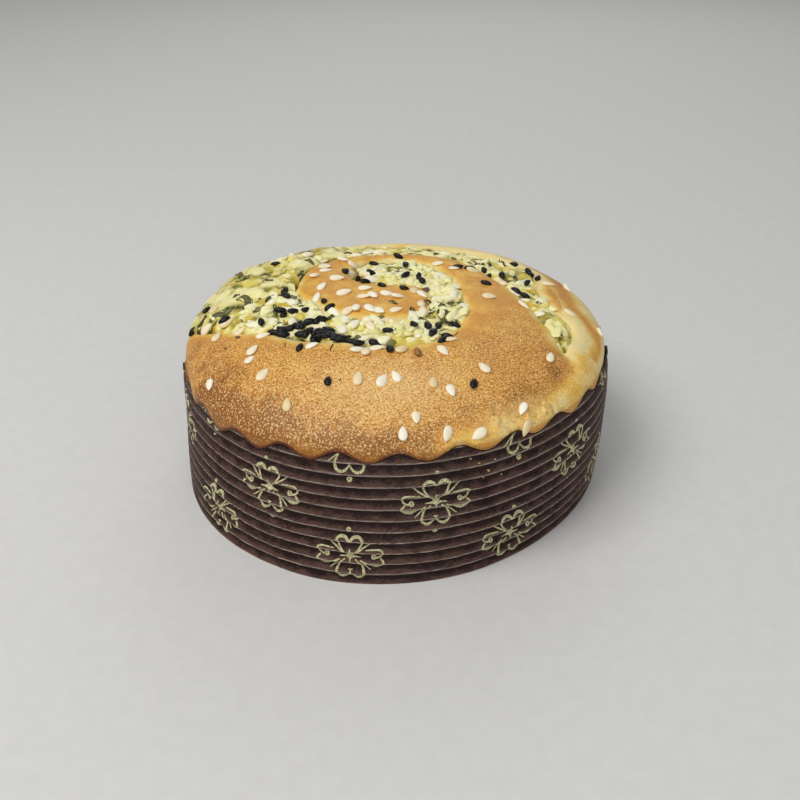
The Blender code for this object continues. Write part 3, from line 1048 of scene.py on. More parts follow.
        # So did the strip along the back and the right
        covered = (reach > 42 * MM) & (np.cos(angle) > -0.5) & (np.sin(angle) > -0.5)
        covered = covered & (gap > -2 * MM) & (x * 0.42 + y > -1 * MM)
        bake = self.open_bake(angle, reach, gap) + self.browned_bake * self.browned.strength(x, y)
        bake = bake * (1.0 - self.tucked_loss * tucked)
        crest = bell(gap - self.crest_at, self.crest_width) * smooth_step(53 * MM, 51.5 * MM, reach)
        bake = np.where(covered, self.covered_bake + self.crest_bake * crest, bake)
        close = smooth_step(1.5 * MM, 0.8 * MM, z - self.form.rim_height(angle))
        close = close * smooth_step(51.6 * MM, 52.8 * MM, reach)
        here = np.stack([x, y, z], -1)
        burnt = close * self.caramel(angle) * (0.85 + 0.3 * self.uneven.read(here, 5 * MM))
        speckle = smooth_step(1.0 * MM, 5.0 * MM, gap) * (0.3 + 0.7 * smooth_step(26 * MM, 34 * MM, reach))
        speckle = speckle * (1.0 - 0.6 * tucked) * np.where(covered, 0.35, 1.0)
        speckle = speckle * (0.55 + 0.45 * smooth_step(20 * MM, -35 * MM, y))
        # The front belly's paler grain and painted highlight, and the torn crumb
        pale_specks_and_highlight, porous = self.pale_grain_and_highlight.strength(x, y), self.porous(x, y, fold)
        values = {"bake": bake, "speckle": speckle, "burnt": burnt, "pale_specks_and_highlight": pale_specks_and_highlight, "porous": porous}
        return {label: np.clip(value, 0.0, 1.0) for label, value in values.items()}

    def open_bake(self, angle: Array, reach: Array, gap: Array) -> Array:
        """How brown the open rolls are: palest at the seam, darkest at the front and the left."""
        fade = 2.0 * MM + 2.2 * MM * smooth_step(20 * MM, 32 * MM, reach)
        roll = self.roll_bake + self.outer_roll_bake * smooth_step(18 * MM, 30 * MM, reach)
        front_edge = 42.5 * MM + 4.5 * MM * bell_round(angle, 272, 0.4)
        front = smooth_step(0.35, 0.85, -np.sin(angle)) * smooth_step(front_edge, 52.5 * MM, reach)
        left = bell_round(angle, 205, 0.5) * smooth_step(38 * MM, 52 * MM, reach)
        bake = self.seam_bake + roll * smooth_step(0.0, fade, gap)
        return bake + self.front_bake * front + self.left_bake * left

    def caramel(self, angle: Array) -> Array:
        """How dark the edge along the rim is baked, round the pie."""
        darker = np.maximum(bell_round(angle, *self.caramel_left), bell_round(angle, *self.caramel_right))
        return self.caramel_least + self.caramel_more * darker

    def build(self) -> bpy.types.Object:
        """Builds the dough, dresses it and puts it in its node's place."""
        x, y = self.plan()
        z, gap = self.height(x, y)
        paint = self.baked(x, y, z, gap)
        angle, reach = np.arctan2(y, x), np.hypot(x, y)
        outer = smooth_step(36 * MM, 53 * MM, reach)
        grown = (reach + self.swell(angle, z) * outer) / np.maximum(reach, 1e-9)
        top = np.stack([x * grown, y * grown, z], -1).reshape(-1, 3)
        count = self.cells + 1
        edge = grid_border(count, count)
        points, labels = [top], {label: [values.ravel()] for label, values in paint.items()}
        edge_angle = np.arctan2(top[edge, 1], top[edge, 0])
        edge_rim = self.form.rim_height(edge_angle)
        brink = edge_rim + self.brink
        levels = [top[edge, 2] * (1.0 - share) + brink * share for share in self.upper_rows]
        levels += [edge_rim + height * MM for height in self.lower_rows] + [np.full(len(edge), self.base)]
        for level in levels:
            radius = self.form.food_radius + self.swell(edge_angle, level)
            points.append(np.stack([radius * np.cos(edge_angle), radius * np.sin(edge_angle), level], -1))
            labels["bake"].append(paint["bake"].ravel()[edge] * 0.6 + 0.35)
            close = smooth_step(1.35 * MM, 0.7 * MM, level - edge_rim)
            labels["burnt"].append(close * self.caramel(edge_angle))
            for label, value in (("speckle", 0.4), ("pale_specks_and_highlight", 0.0), ("porous", 0.0)):
                labels[label].append(np.full(len(edge), value))
        side = np.arange(len(levels) * len(edge)).reshape(-1, len(edge))
        rings = np.concatenate([edge[None], len(top) + side])
        upper, lower = rings[:-1], rings[1:]
        wall = np.stack([upper, lower, np.roll(lower, -1, 1), np.roll(upper, -1, 1)], -1).reshape(-1, 4)
        paints = {label: np.concatenate(values) for label, values in labels.items()}
        cap = tuple(int(i) for i in rings[-1][::-1])
        quads = np.concatenate([grid_quads(count, count), wall])
        skin = Skin(self.form.settle(np.concatenate(points)), quads, [cap], paints)
        piece = skin.link("dough_coil", CrustFinish().make(), crease=75.0)
        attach(piece, "root")
        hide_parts("dough")
        return piece


@dataclass
class Filling:
    """The cheese and spinach in the seam, one lumpy body."""

    form: PieForm
    steps: int = 700
    lanes: int = 92
    sunk: float = 1.0 * MM
    proud: float = 1.5 * MM
    edge_drop: float = 1.0 * MM
    edge_reach: float = 1.8 * MM
    open_from: float = 116.0
    open_to: float = 198.0
    behind_at: float = 80.0
    behind_reach: float = 42.0
    behind_drop: float = 1.1 * MM
    tuck: float = 0.6 * MM
    outer_limit: float = 53.0 * MM
    floor_height: float = 33.35 * MM
    big_lump: float = 5.6 * MM
    small_lump: float = 2.3 * MM
    # The stretch far back on the left that the spinach stained: its middle and reach, in millimetres
    stain: tuple[float, float, float] = (-30.0, 34.0, 20.0)
    big_lumps: Grain = Grain(8)
    small_lumps: Grain = Grain(9)

    def height(self, x: Array, y: Array, turn: Array, edge: Array) -> dict[str, Array]:
        """Finds the filling's top and how it is coloured.

        Args:
            x: Places along X.
            y: Places along Y.
            turn: Turns along the seam, in degrees.
            edge: Distances in from the seam's edges.

        Returns:
            Heights, and how much each place is curd, crease or stained green, from 0 to 1.
        """
        middle, reach = 0.5 * (self.open_from + self.open_to), 0.5 * (self.open_to - self.open_from)
        openness = np.exp(-(((turn - middle) / reach) ** 4))
        here = np.stack([x, y, 0 * x], -1)
        bend = 1.2 * MM * self.big_lumps.layered(here + 9.0, 4.0 * MM, 2)
        big, big_own = self.big_lumps.lumps(x + bend, y - bend, self.big_lump)
        small, small_own = self.small_lumps.lumps(x - bend, y + bend, self.small_lump)
        behind = np.exp(-(((turn - self.behind_at) / self.behind_reach) ** 4))
        z = self.form.dome(x, y) - self.sunk + self.proud * openness - self.behind_drop * behind
        z = z + 1.3 * MM * (big**0.6 - 0.5) * (0.35 + 0.65 * big_own)
        z = z + 0.75 * MM * (small**0.6 - 0.4) * (0.4 + 0.6 * small_own) * (1.0 - 0.4 * openness)
        z = z + 0.6 * MM * self.big_lumps.layered(here, 7.0 * MM, 2)
        z = z + 0.3 * MM * self.small_lumps.layered(here, 1.6 * MM, 2)
        z = z - self.edge_drop * (1.0 - smooth_step(0.0, self.edge_reach, edge))
        small_curd = small**0.5 * (small_own > 0.5) * (1.0 - 0.5 * openness)
        curd = np.maximum(small_curd, 0.9 * big * (big_own > 0.7))
        # How deep in a crevice between lumps; the finish darkens it as painted shade and tints it greener
        crease = 0.7 * np.clip(1.0 - 1.5 * big**0.7, 0.0, 1.0) + 0.4 * np.clip(1.0 - 2.0 * small, 0.0, 1.0)
        stain_x, stain_y, stain_reach = (part * MM for part in self.stain)
        back = smooth_step(0.0, 1.0, 1.0 - np.hypot(x - stain_x, y - stain_y) / stain_reach)
        stained = np.maximum(back, smooth_step(50 * MM, 53 * MM, np.hypot(x, y)))
        found = {"z": z, "curd": curd * (1.0 - 0.7 * stained), "crease": crease, "stained": stained}
        return {label: value if label == "z" else np.clip(value, 0.0, 1.0) for label, value in found.items()}

    def build(self) -> bpy.types.Object:
        """Builds the filling, dresses it and puts it in its node's place."""
        middle, side, half, turns = self.form.seam_stations(self.steps)
        inner = half + self.tuck
        outer = np.minimum(inner, self.outer_limit - np.linalg.norm(middle, axis=1))
        share = np.linspace(0.0, 1.0, self.lanes)[None, :]
        offset = -inner[:, None] * (1.0 - share) + outer[:, None] * share
        place = middle[:, None, :] + side[:, None, :] * offset[..., None]
        x, y = place[..., 0], place[..., 1]
        edge = np.minimum(offset + inner[:, None], outer[:, None] - offset)
        found = self.height(x, y, np.broadcast_to(turns[:, None], x.shape), edge)
        top = np.stack([x, y, found["z"]], -1).reshape(-1, 3)
        rows = len(turns)
        number = np.arange(rows * self.lanes).reshape(rows, self.lanes)
        ends = number[:, [0, -1]]
        bottom = top[ends.ravel()].copy()
        bottom[:, 2] = self.floor_height
        low = len(top) + np.arange(2 * rows).reshape(rows, 2)
        left = np.stack([ends[:-1, 0], ends[1:, 0], low[1:, 0], low[:-1, 0]], -1)
        right = np.stack([ends[:-1, 1], low[:-1, 1], low[1:, 1], ends[1:, 1]], -1)
        under = np.stack([low[:-1, 0], low[1:, 0], low[1:, 1], low[:-1, 1]], -1)
        caps = [(*map(int, number[0]), int(low[0, 1]), int(low[0, 0]))]
        caps.append((*map(int, number[-1, ::-1]), int(low[-1, 0]), int(low[-1, 1])))
        quads = np.concatenate([grid_quads(rows, self.lanes)[:, ::-1], left, right, under])
        plain = np.zeros(2 * rows)
        paint = {label: np.append(found[label], plain) for label in ("curd", "crease", "stained")}
        skin = Skin(self.form.settle(np.concatenate([top, bottom])), quads, caps, paint)
        piece = skin.link("spinach_cheese", FillingFinish().make(), crease=80.0)
        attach(piece, "root")
        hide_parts("filling")
        return piece


class Surface:
    """The top of the food, to lay small things on."""

    above: float = 80.0 * MM

    def __init__(self, pieces: list[bpy.types.Object]) -> None:
        """Gathers the pieces' faces for finding places on them."""
        graph = bpy.context.evaluated_depsgraph_get()
        self.trees = [BVHTree.FromObject(piece, graph) for piece in pieces]

    def hit(self, start: Vector, direction: Vector) -> Found | None:
        """Finds where a straight line first meets the food.

        Args:
            start: Where the line starts.
            direction: Where it goes.

        Returns:
            The place, the slope's direction and the number of the piece that is met, or None.
        """
        best = None
        for number, tree in enumerate(self.trees):
            place, normal, _, distance = tree.ray_cast(start, direction)
            if place is not None and (best is None or distance < best[0]):
                best = (distance, place, normal if normal.dot(direction) < 0 else -normal, number)
        return None if best is None else best[1:]

    def drop(self, x: float, y: float) -> Found | None:
        """Finds the food's top under a place of the plan."""
        return self.hit(Vector((x, y, self.above)), Vector((0.0, 0.0, -1.0)))


class Seed(Enum):
    """The kinds of seed on the pie."""

    SESAME = "sesame_seeds"
    NIGELLA = "nigella_seeds"


@dataclass(frozen=True)
class SeedShape:
    """One kind of seed: its sizes and how its section tapers."""

    length: float
    width: float
    thickness: float
    blunt: float
    point: float
    corners: float
    sides: int = 12
    bands: int = 9

    def skin(self, place: Vector, normal: Vector, heading: Vector, size: float, tint: float) -> Skin:
        """Shapes one seed where it lies.

        Args:
            place: Its middle.
            normal: The direction it lies flat against.
            heading: Where its tip points.
            size: Its size against the usual one.
            tint: Its own tint.

        Returns:
            The seed as a closed skin.
        """
        up = np.array(normal)
        ahead = np.array(heading) - up * float(np.dot(up, heading))
        ahead /= max(float(np.linalg.norm(ahead)), 1e-9)
        across = np.cross(up, ahead)
        share = (1.0 - np.cos(math.pi * np.arange(1, self.bands) / self.bands)) * 0.5
        full = share**self.blunt * (1.0 - share) ** self.point
        full /= full.max()
        turn = math.tau * np.arange(self.sides) / self.sides
        section = 1.0 + self.corners * np.cos(3 * turn + 0.6)
        along = (share - 0.5)[:, None, None] * self.length * ahead
        wide = (full[:, None] * section * np.cos(turn))[..., None] * 0.5 * self.width * across
        thick = (full[:, None] * section * np.sin(turn))[..., None] * 0.5 * self.thickness * up
        ends = np.array([-0.5, 0.5])[:, None] * self.length * ahead
        points = np.concatenate([(along + wide + thick).reshape(-1, 3), ends]) * size + np.array(place)
        quads, caps = ball_faces(self.bands, self.sides, turned=True)
        return Skin(points, quads, caps, {"tint": np.full(len(points), tint)})


@dataclass(frozen=True)
class Viewpoint:
    """Where the picture is taken from, worked out from the case's rim and outline."""

    distance: float = 244.44 * MM
    elevation: float = math.radians(30.028)
    focal_pixels: float = 927.0
    target: Vector = Vector((0.0, 0.0, 24.44 * MM))
    target_pixel: tuple[float, float] = (395.996, 370.17)
    sensor: float = 36.0
    nearest: float = 10.0 * MM
    # How far a place is raised before it is looked for, and how near counts as seen
    raised: float = 1.5 * MM
    slack: float = 0.5 * MM

    def matrix(self) -> Matrix:
        """Stands the camera so that its target shows at the target's pixel."""
        back = Vector((0.0, -math.cos(self.elevation), math.sin(self.elevation)))
        right = Vector((1.0, 0.0, 0.0))
        axes = Matrix((right, back.cross(right), back)).transposed()
        turn = self.ray(*self.target_pixel).rotation_difference(Vector((0.0, 0.0, -1.0))).to_matrix()
        return Matrix.Translation(self.target + back * self.distance) @ (axes @ turn).to_4x4()

    def ray(self, u: float, v: float) -> Vector:
        """Direction through a pixel, in the camera's own axes."""
        half = 0.5 * IMAGE_SIDE
        return Vector(((u - half) / self.focal_pixels, (half - v) / self.focal_pixels, -1.0)).normalized()

    def look(self, surface: Surface, u: float, v: float) -> Found | None:
        """Finds the place on the food that shows at a pixel."""
        stand = self.matrix()
        return surface.hit(stand.translation, stand.to_3x3() @ self.ray(u, v))

    def sees(self, surface: Surface, place: Vector) -> bool:
        """Tells whether a place just over the food shows in the picture."""
        start = self.matrix().translation
        raised = place + Vector((0.0, 0.0, self.raised))
        found = surface.hit(start, (raised - start).normalized())
        return found is None or (found[0] - start).length > (raised - start).length - self.slack

    def build(self) -> None:
        """Makes the camera the scene's own."""
        data = bpy.data.cameras.new("camera")
        data.sensor_width = self.sensor
        data.lens = self.focal_pixels * self.sensor / IMAGE_SIDE
        data.clip_start = self.nearest
        camera = bpy.data.objects.new("camera", data)
        bpy.context.scene.collection.objects.link(camera)
        camera.matrix_world = self.matrix()
        bpy.context.scene.camera = camera


@dataclass(frozen=True)
class Strewing:
    """How small things are strewn along the seam."""

    # The turn in degrees where the seam narrows, the shares that stay before it and after it, and
    # how far towards the seam's edges they reach
    turn: float
    before: float
    after: float
    reach: float
    full_width: float = 8.0 * MM
    steps: int = 500

    def spots(self, form: PieForm, draw: random.Random) -> Iterator[Array]:
        """Draws places of the round plan, one after another and without end."""
        middle, side, half, turns = form.seam_stations(self.steps)
        while True:
            i = draw.randrange(len(turns))
            kept = self.before if turns[i] < self.turn else self.after
            if draw.random() <= kept * min(half[i] / self.full_width, 1.0):
                yield middle[i] + side[i] * half[i] * draw.uniform(-self.reach, self.reach)


@dataclass
class Seeds:
    """White sesame and black nigella seeds, strewn thickest along the seam."""

    form: PieForm
    surface: Surface
    viewpoint: Viewpoint
    sesame: SeedShape = SeedShape(3.6 * MM, 2.15 * MM, 1.0 * MM, blunt=0.5, point=0.8, corners=0.0)
    nigella: SeedShape = SeedShape(3.0 * MM, 1.7 * MM, 1.25 * MM, blunt=0.55, point=0.65, corners=0.14)
    # Seeds that the picture shows: pixel across, pixel down, and the tip's direction in degrees
    white_spots: Triples = (
        (210, 385, 255), (263, 375, 45), (287, 405, 85), (253, 351, 40), (250, 360, 45), (217, 338, 50),
        (207, 329, 20), (240, 332, 25), (263, 336, 10), (358, 379, 80), (382, 381, 60), (396, 377, 130),
        (416, 418, 280), (403, 434, 90), (312, 346, 5), (358, 350, 20), (366, 352, 80), (377, 349, 0),
        (402, 350, 30), (433, 383, 90), (451, 391, 300), (484, 368, 135), (443, 351, 320), (550, 358, 70),
        (523, 409, 230), (525, 428, 320), (479, 434, 215), (447, 434, 275), (489, 297, 0), (523, 306, 330),
        (539, 315, 345), (570, 314, 355), (548, 285, 0), (567, 289, 320), (600, 333, 300), (473, 271, 0),
        (502, 284, 335), (516, 294, 340), (454, 269, 0), (438, 264, 350), (396, 310, 10), (398, 297, 10),
        (414, 291, 80), (422, 295, 320), (421, 304, 85), (423, 311, 90), (387, 294, 0), (388, 322, 0),
        (451, 340, 0), (315, 276, 40), (337, 279, 5), (322, 287, 45), (317, 298, 60), (344, 293, 15),
        (326, 271, 5), (325, 267, 340), (343, 260, 340), (353, 266, 0), (357, 256, 0), (368, 254, 0),
        (380, 253, 0), (323, 262, 15), (351, 275, 5), (367, 274, 340), (372, 280, 0), (365, 289, 0),
        (364, 297, 345), (373, 296, 320), (348, 311, 25), (356, 308, 85), (370, 309, 325), (379, 311, 330),
        (334, 313, 330), (214, 310, 60), (226, 323, 20), (308, 255, 20), (370, 320, 0), (371, 327, 320),
        (354, 325, 40), (343, 330, 80), (319, 329, 0),
    )
    black_spots: Triples = (
        (328, 382, 85), (473, 385, 250), (398, 257, 345), (406, 266, 280), (406, 276, 30), (419, 277, 60),
        (422, 281, 300), (404, 289, 0), (382, 286, 330), (486, 284, 350), (458, 268, 355), (470, 269, 0),
        (484, 271, 280), (489, 277, 0), (502, 276, 90), (514, 265, 345), (528, 273, 300), (532, 277, 350),
        (538, 279, 60), (527, 283, 45), (516, 292, 330), (525, 296, 340), (414, 325, 310), (388, 331, 350),
        (390, 350, 290), (428, 327, 300), (433, 333, 45), (438, 326, 60), (456, 326, 340), (447, 337, 350),
        (443, 341, 30), (374, 265, 335), (371, 273, 0), (345, 272, 60), (357, 281, 335), (365, 283, 20),
        (324, 302, 280), (330, 308, 25), (306, 311, 35), (285, 292, 60), (286, 296, 320), (276, 265, 0),
        (284, 315, 60), (261, 323, 290), (225, 321, 20), (207, 311, 35), (193, 332, 20), (283, 335, 0),
        (300, 348, 60), (314, 339, 70), (318, 321, 40), (322, 319, 20), (375, 344, 345), (358, 344, 10),
        (280, 311, 0), (293, 312, 20),
    )
    # Thick streaks of black seed in the front of the seam: first and last pixel, and how many
    black_streaks: tuple[tuple[float, float, float, float, int], ...] = (
        (272, 334, 312, 322, 14), (300, 334, 330, 331, 9), (317, 334, 352, 342, 18),
    )
    streak_spread: tuple[float, float] = (1.0, 1.2)
    streak_turn: tuple[float, float] = (10, 30)
    hidden_white: int = 14
    hidden_black: int = 5
    tries: int = 1500
    # Where the unseen ones may fall: turns in radians, and reach and least place along Y in metres
    hidden_turns: tuple[float, float] = (0.1, 3.0)
    hidden_reach: float = 52.0 * MM
    hidden_from: float = 20.0 * MM
    white_finish: TintFinish = TintFinish(
        "sesame", srgb(255, 249, 228), srgb(252, 240, 210), srgb(238, 216, 168), 0.42, glow=0.12, fleck=0.1
    )
    black_finish: TintFinish = TintFinish(
        "nigella", srgb(5, 5, 7), srgb(9, 9, 11), srgb(20, 18, 17), 0.42, gloss=0.35
    )

    def lay(self, shape: SeedShape, found: Found, heading: Vector, draw: random.Random) -> Skin:
        """Lays one seed where it was found to fall, a little tilted."""
        place, normal, number = found
        tilt = Vector((draw.gauss(0, 0.12), draw.gauss(0, 0.12), 0.0 if number == 0 else 0.7))
        up = (normal + tilt).normalized()
        size = min(max(draw.gauss(1.0, 0.07), 0.85), 1.15)
        raised = place + up * shape.thickness * 0.5 * size * draw.uniform(0.35, 0.75)
        return shape.skin(raised, up, heading, size, draw.random())

    def from_pixel(
        self, shape: SeedShape, u: float, v: float, turn: float, draw: random.Random
    ) -> list[Skin]:
        """Lays a seed where a pixel shows it, its tip turned as the picture shows.

        Args:
            shape: The kind of seed.
            u: Pixel across.
            v: Pixel down.
            turn: The tip's direction in the picture, in degrees.
            draw: Source of chance.

        Returns:
            The seed, or nothing where the pixel misses the food.
        """
        found = self.viewpoint.look(self.surface, u, v)
        if found is None:
            return []
        axes = self.viewpoint.matrix().to_3x3()
        aim = math.radians(turn)
        seen = axes @ Vector((math.cos(aim), math.sin(aim), 0.0))
        flat = Vector((seen.x, seen.y + 1.2 * math.sin(aim), 0.0))
        return [self.lay(shape, found, flat, draw)]

    def scattered(self, shape: SeedShape, count: int, on_dough: bool, draw: random.Random) -> list[Skin]:
        """Strews seeds over the far side, where the picture doesn't show them.

        Args:
            shape: The kind of seed.
            count: How many.
            on_dough: Whether they lie on the dough or the filling.
            draw: Source of chance.

        Returns:
            The seeds.
        """
        seeds = []
        for _ in range(self.tries):
            if len(seeds) == count:
                break
            angle = draw.uniform(*self.hidden_turns)
            reach = self.hidden_reach * math.sqrt(draw.uniform(0.3, 1.0))
            x, y = reach * math.cos(angle), reach * math.sin(angle)
            gap = float(self.form.seam_gap(np.array([x]), np.array([y]))[0])
            if y < self.hidden_from or (gap < 1.0 * MM if on_dough else gap > -1.0 * MM):
                continue
            found = self.surface.drop(x, y)
            if found is None or self.viewpoint.sees(self.surface, found[0]):
                continue
            turn = draw.uniform(0, math.tau)
            seeds.append(self.lay(shape, found, Vector((math.cos(turn), math.sin(turn), 0.0)), draw))
        return seeds

    def build(self, kind: Seed) -> bpy.types.Object:
        """Lays every seed of one kind.

        Args:
            kind: Which seeds to lay.

        Returns:
            All of them, as one piece.
        """
        white = kind is Seed.SESAME
        draw = random.Random(31 if white else 32)
        shape, finish = (self.sesame, self.white_finish) if white else (self.nigella, self.black_finish)
        seeds = []
        for u, v, turn in self.white_spots if white else self.black_spots:
            seeds += self.from_pixel(shape, u, v, turn, draw)
        for u0, v0, u1, v1, count in () if white else self.black_streaks:
            for share in ((k + 0.5) / count for k in range(count)):
                u = u0 + (u1 - u0) * share + draw.gauss(0, self.streak_spread[0])
                v = v0 + (v1 - v0) * share + draw.gauss(0, self.streak_spread[1])
                seeds += self.from_pixel(shape, u, v, draw.gauss(*self.streak_turn), draw)
        seeds += self.scattered(shape, self.hidden_white if white else self.hidden_black, white, draw)
        piece = joined(seeds).link(kind.value, finish.make(), crease=70.0)
        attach(piece, "root")
        LOG.info("%s: %d seeds", kind.value, len(seeds))
        return piece


@dataclass
class Curds:
    """Soft grains of white cheese, half sunk in the filling."""

    form: PieForm
    surface: Surface
    count: int = 400
    smallest: float = 1.4 * MM
    largest: float = 3.3 * MM
    sides: int = 16
    bands: int = 10
    knobbly: float = 0.42
    strewing: Strewing = Strewing(turn=190, before=0.1, after=1.0, reach=0.9)
    outermost: float = 50.5 * MM
    # Behind this line and outside this reach the filling's outline stays free of curds
    back_line: float = 26.0 * MM
    back_reach: float = 38.0 * MM
    finish: TintFinish = TintFinish(
        "curds", srgb(255, 252, 222), srgb(252, 246, 188), srgb(238, 226, 140), 0.4, 0.45, 0.15, 0.06 * MM
    )

    def grain(self, place: Vector, size: float, tint: float, draw: random.Random) -> Skin:
        """Shapes one knobbly grain."""
        turns = math.tau * np.arange(self.sides) / self.sides
        tilts = math.pi * np.arange(1, self.bands) / self.bands
        level, wide = np.cos(tilts)[:, None], np.sin(tilts)[:, None]
        ring = np.stack([wide * np.cos(turns), wide * np.sin(turns), level * np.ones_like(turns)], -1)
        points = np.concatenate([ring.reshape(-1, 3), [[0, 0, 1.0], [0, 0, -1.0]]])
        knobs = Grain(draw.randrange(999)).layered(points + 3.0, 0.75, 3)
        points = points * (1.0 + self.knobbly * knobs)[:, None]
        stretch = np.array([draw.uniform(1.0, 1.8), draw.uniform(0.65, 1.0), draw.uniform(0.4, 0.65)])
        turn = Matrix.Rotation(draw.uniform(0, math.tau), 3, "Z")
        turn = turn @ Matrix.Rotation(draw.gauss(0, 0.3), 3, "X")
        points = (points * stretch) @ np.array(turn).T * 0.5 * size + np.array(place)
        quads, caps = ball_faces(self.bands, self.sides)
        return Skin(points, quads, caps, {"tint": np.full(len(points), tint)})

    def build(self) -> bpy.types.Object:
        """Strews the grains, most of them towards the coil's middle."""
        draw = random.Random(41)
        grains = []
        for spot in self.strewing.spots(self.form, draw):
            if len(grains) == self.count:
                break
            found = self.surface.drop(*self.form.settle(np.array([*spot, 0.0]))[:2])
            reach = math.hypot(*spot)
            if reach > self.outermost or found is None or found[2] == 0:
                continue
            if spot[1] > self.back_line and reach > self.back_reach:
                continue
            size = self.smallest + (self.largest - self.smallest) * draw.random() ** 1.6
            place = found[0] + Vector((0.0, 0.0, size * draw.uniform(-0.22, 0.08)))
            grains.append(self.grain(place, size, draw.random(), draw))
        piece = joined(grains).link("cheese_curds", self.finish.make(), crease=80.0)
        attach(piece, "root")
        return piece


@dataclass
class Crumbs:
    """Odd grains that fell on the pie, and crumbs caught on the paper."""

    curds: Curds
    surface: Surface
    viewpoint: Viewpoint
    # Where they show: pixel across, pixel down, size in millimetres and tint
    spots: tuple[tuple[float, float, float, float], ...] = (
        (418, 354, 2.1, 0.5), (426, 291, 2.3, 0.0), (226, 349, 0.7, 0.0),
        (238, 338, 0.8, 0.0), (470, 458, 0.6, 0.9), (479, 463, 0.45, 1.0), (488, 470, 0.7, 0.85),
        (495, 459, 0.4, 1.0), (483, 477, 0.5, 0.9), (501, 474, 0.4, 1.0), (340, 380, 0.5, 0.1),
    )
    raised: float = 0.25
    finish: TintFinish = TintFinish("crumbs", srgb(84, 56, 30), srgb(146, 98, 48), srgb(226, 200, 150), 0.45)

    def build(self) -> bpy.types.Object:
        """Lays each grain where it shows."""
        draw = random.Random(61)
        grains = []
        for u, v, size, tint in self.spots:
            found = self.viewpoint.look(self.surface, u, v)
            if found is not None:
                place = found[0] + found[1] * self.raised * size * MM
                grains.append(self.curds.grain(place, size * MM, tint, draw))
        piece = joined(grains).link("stray_crumbs", self.finish.make(), crease=80.0)
        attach(piece, "root")
        return piece


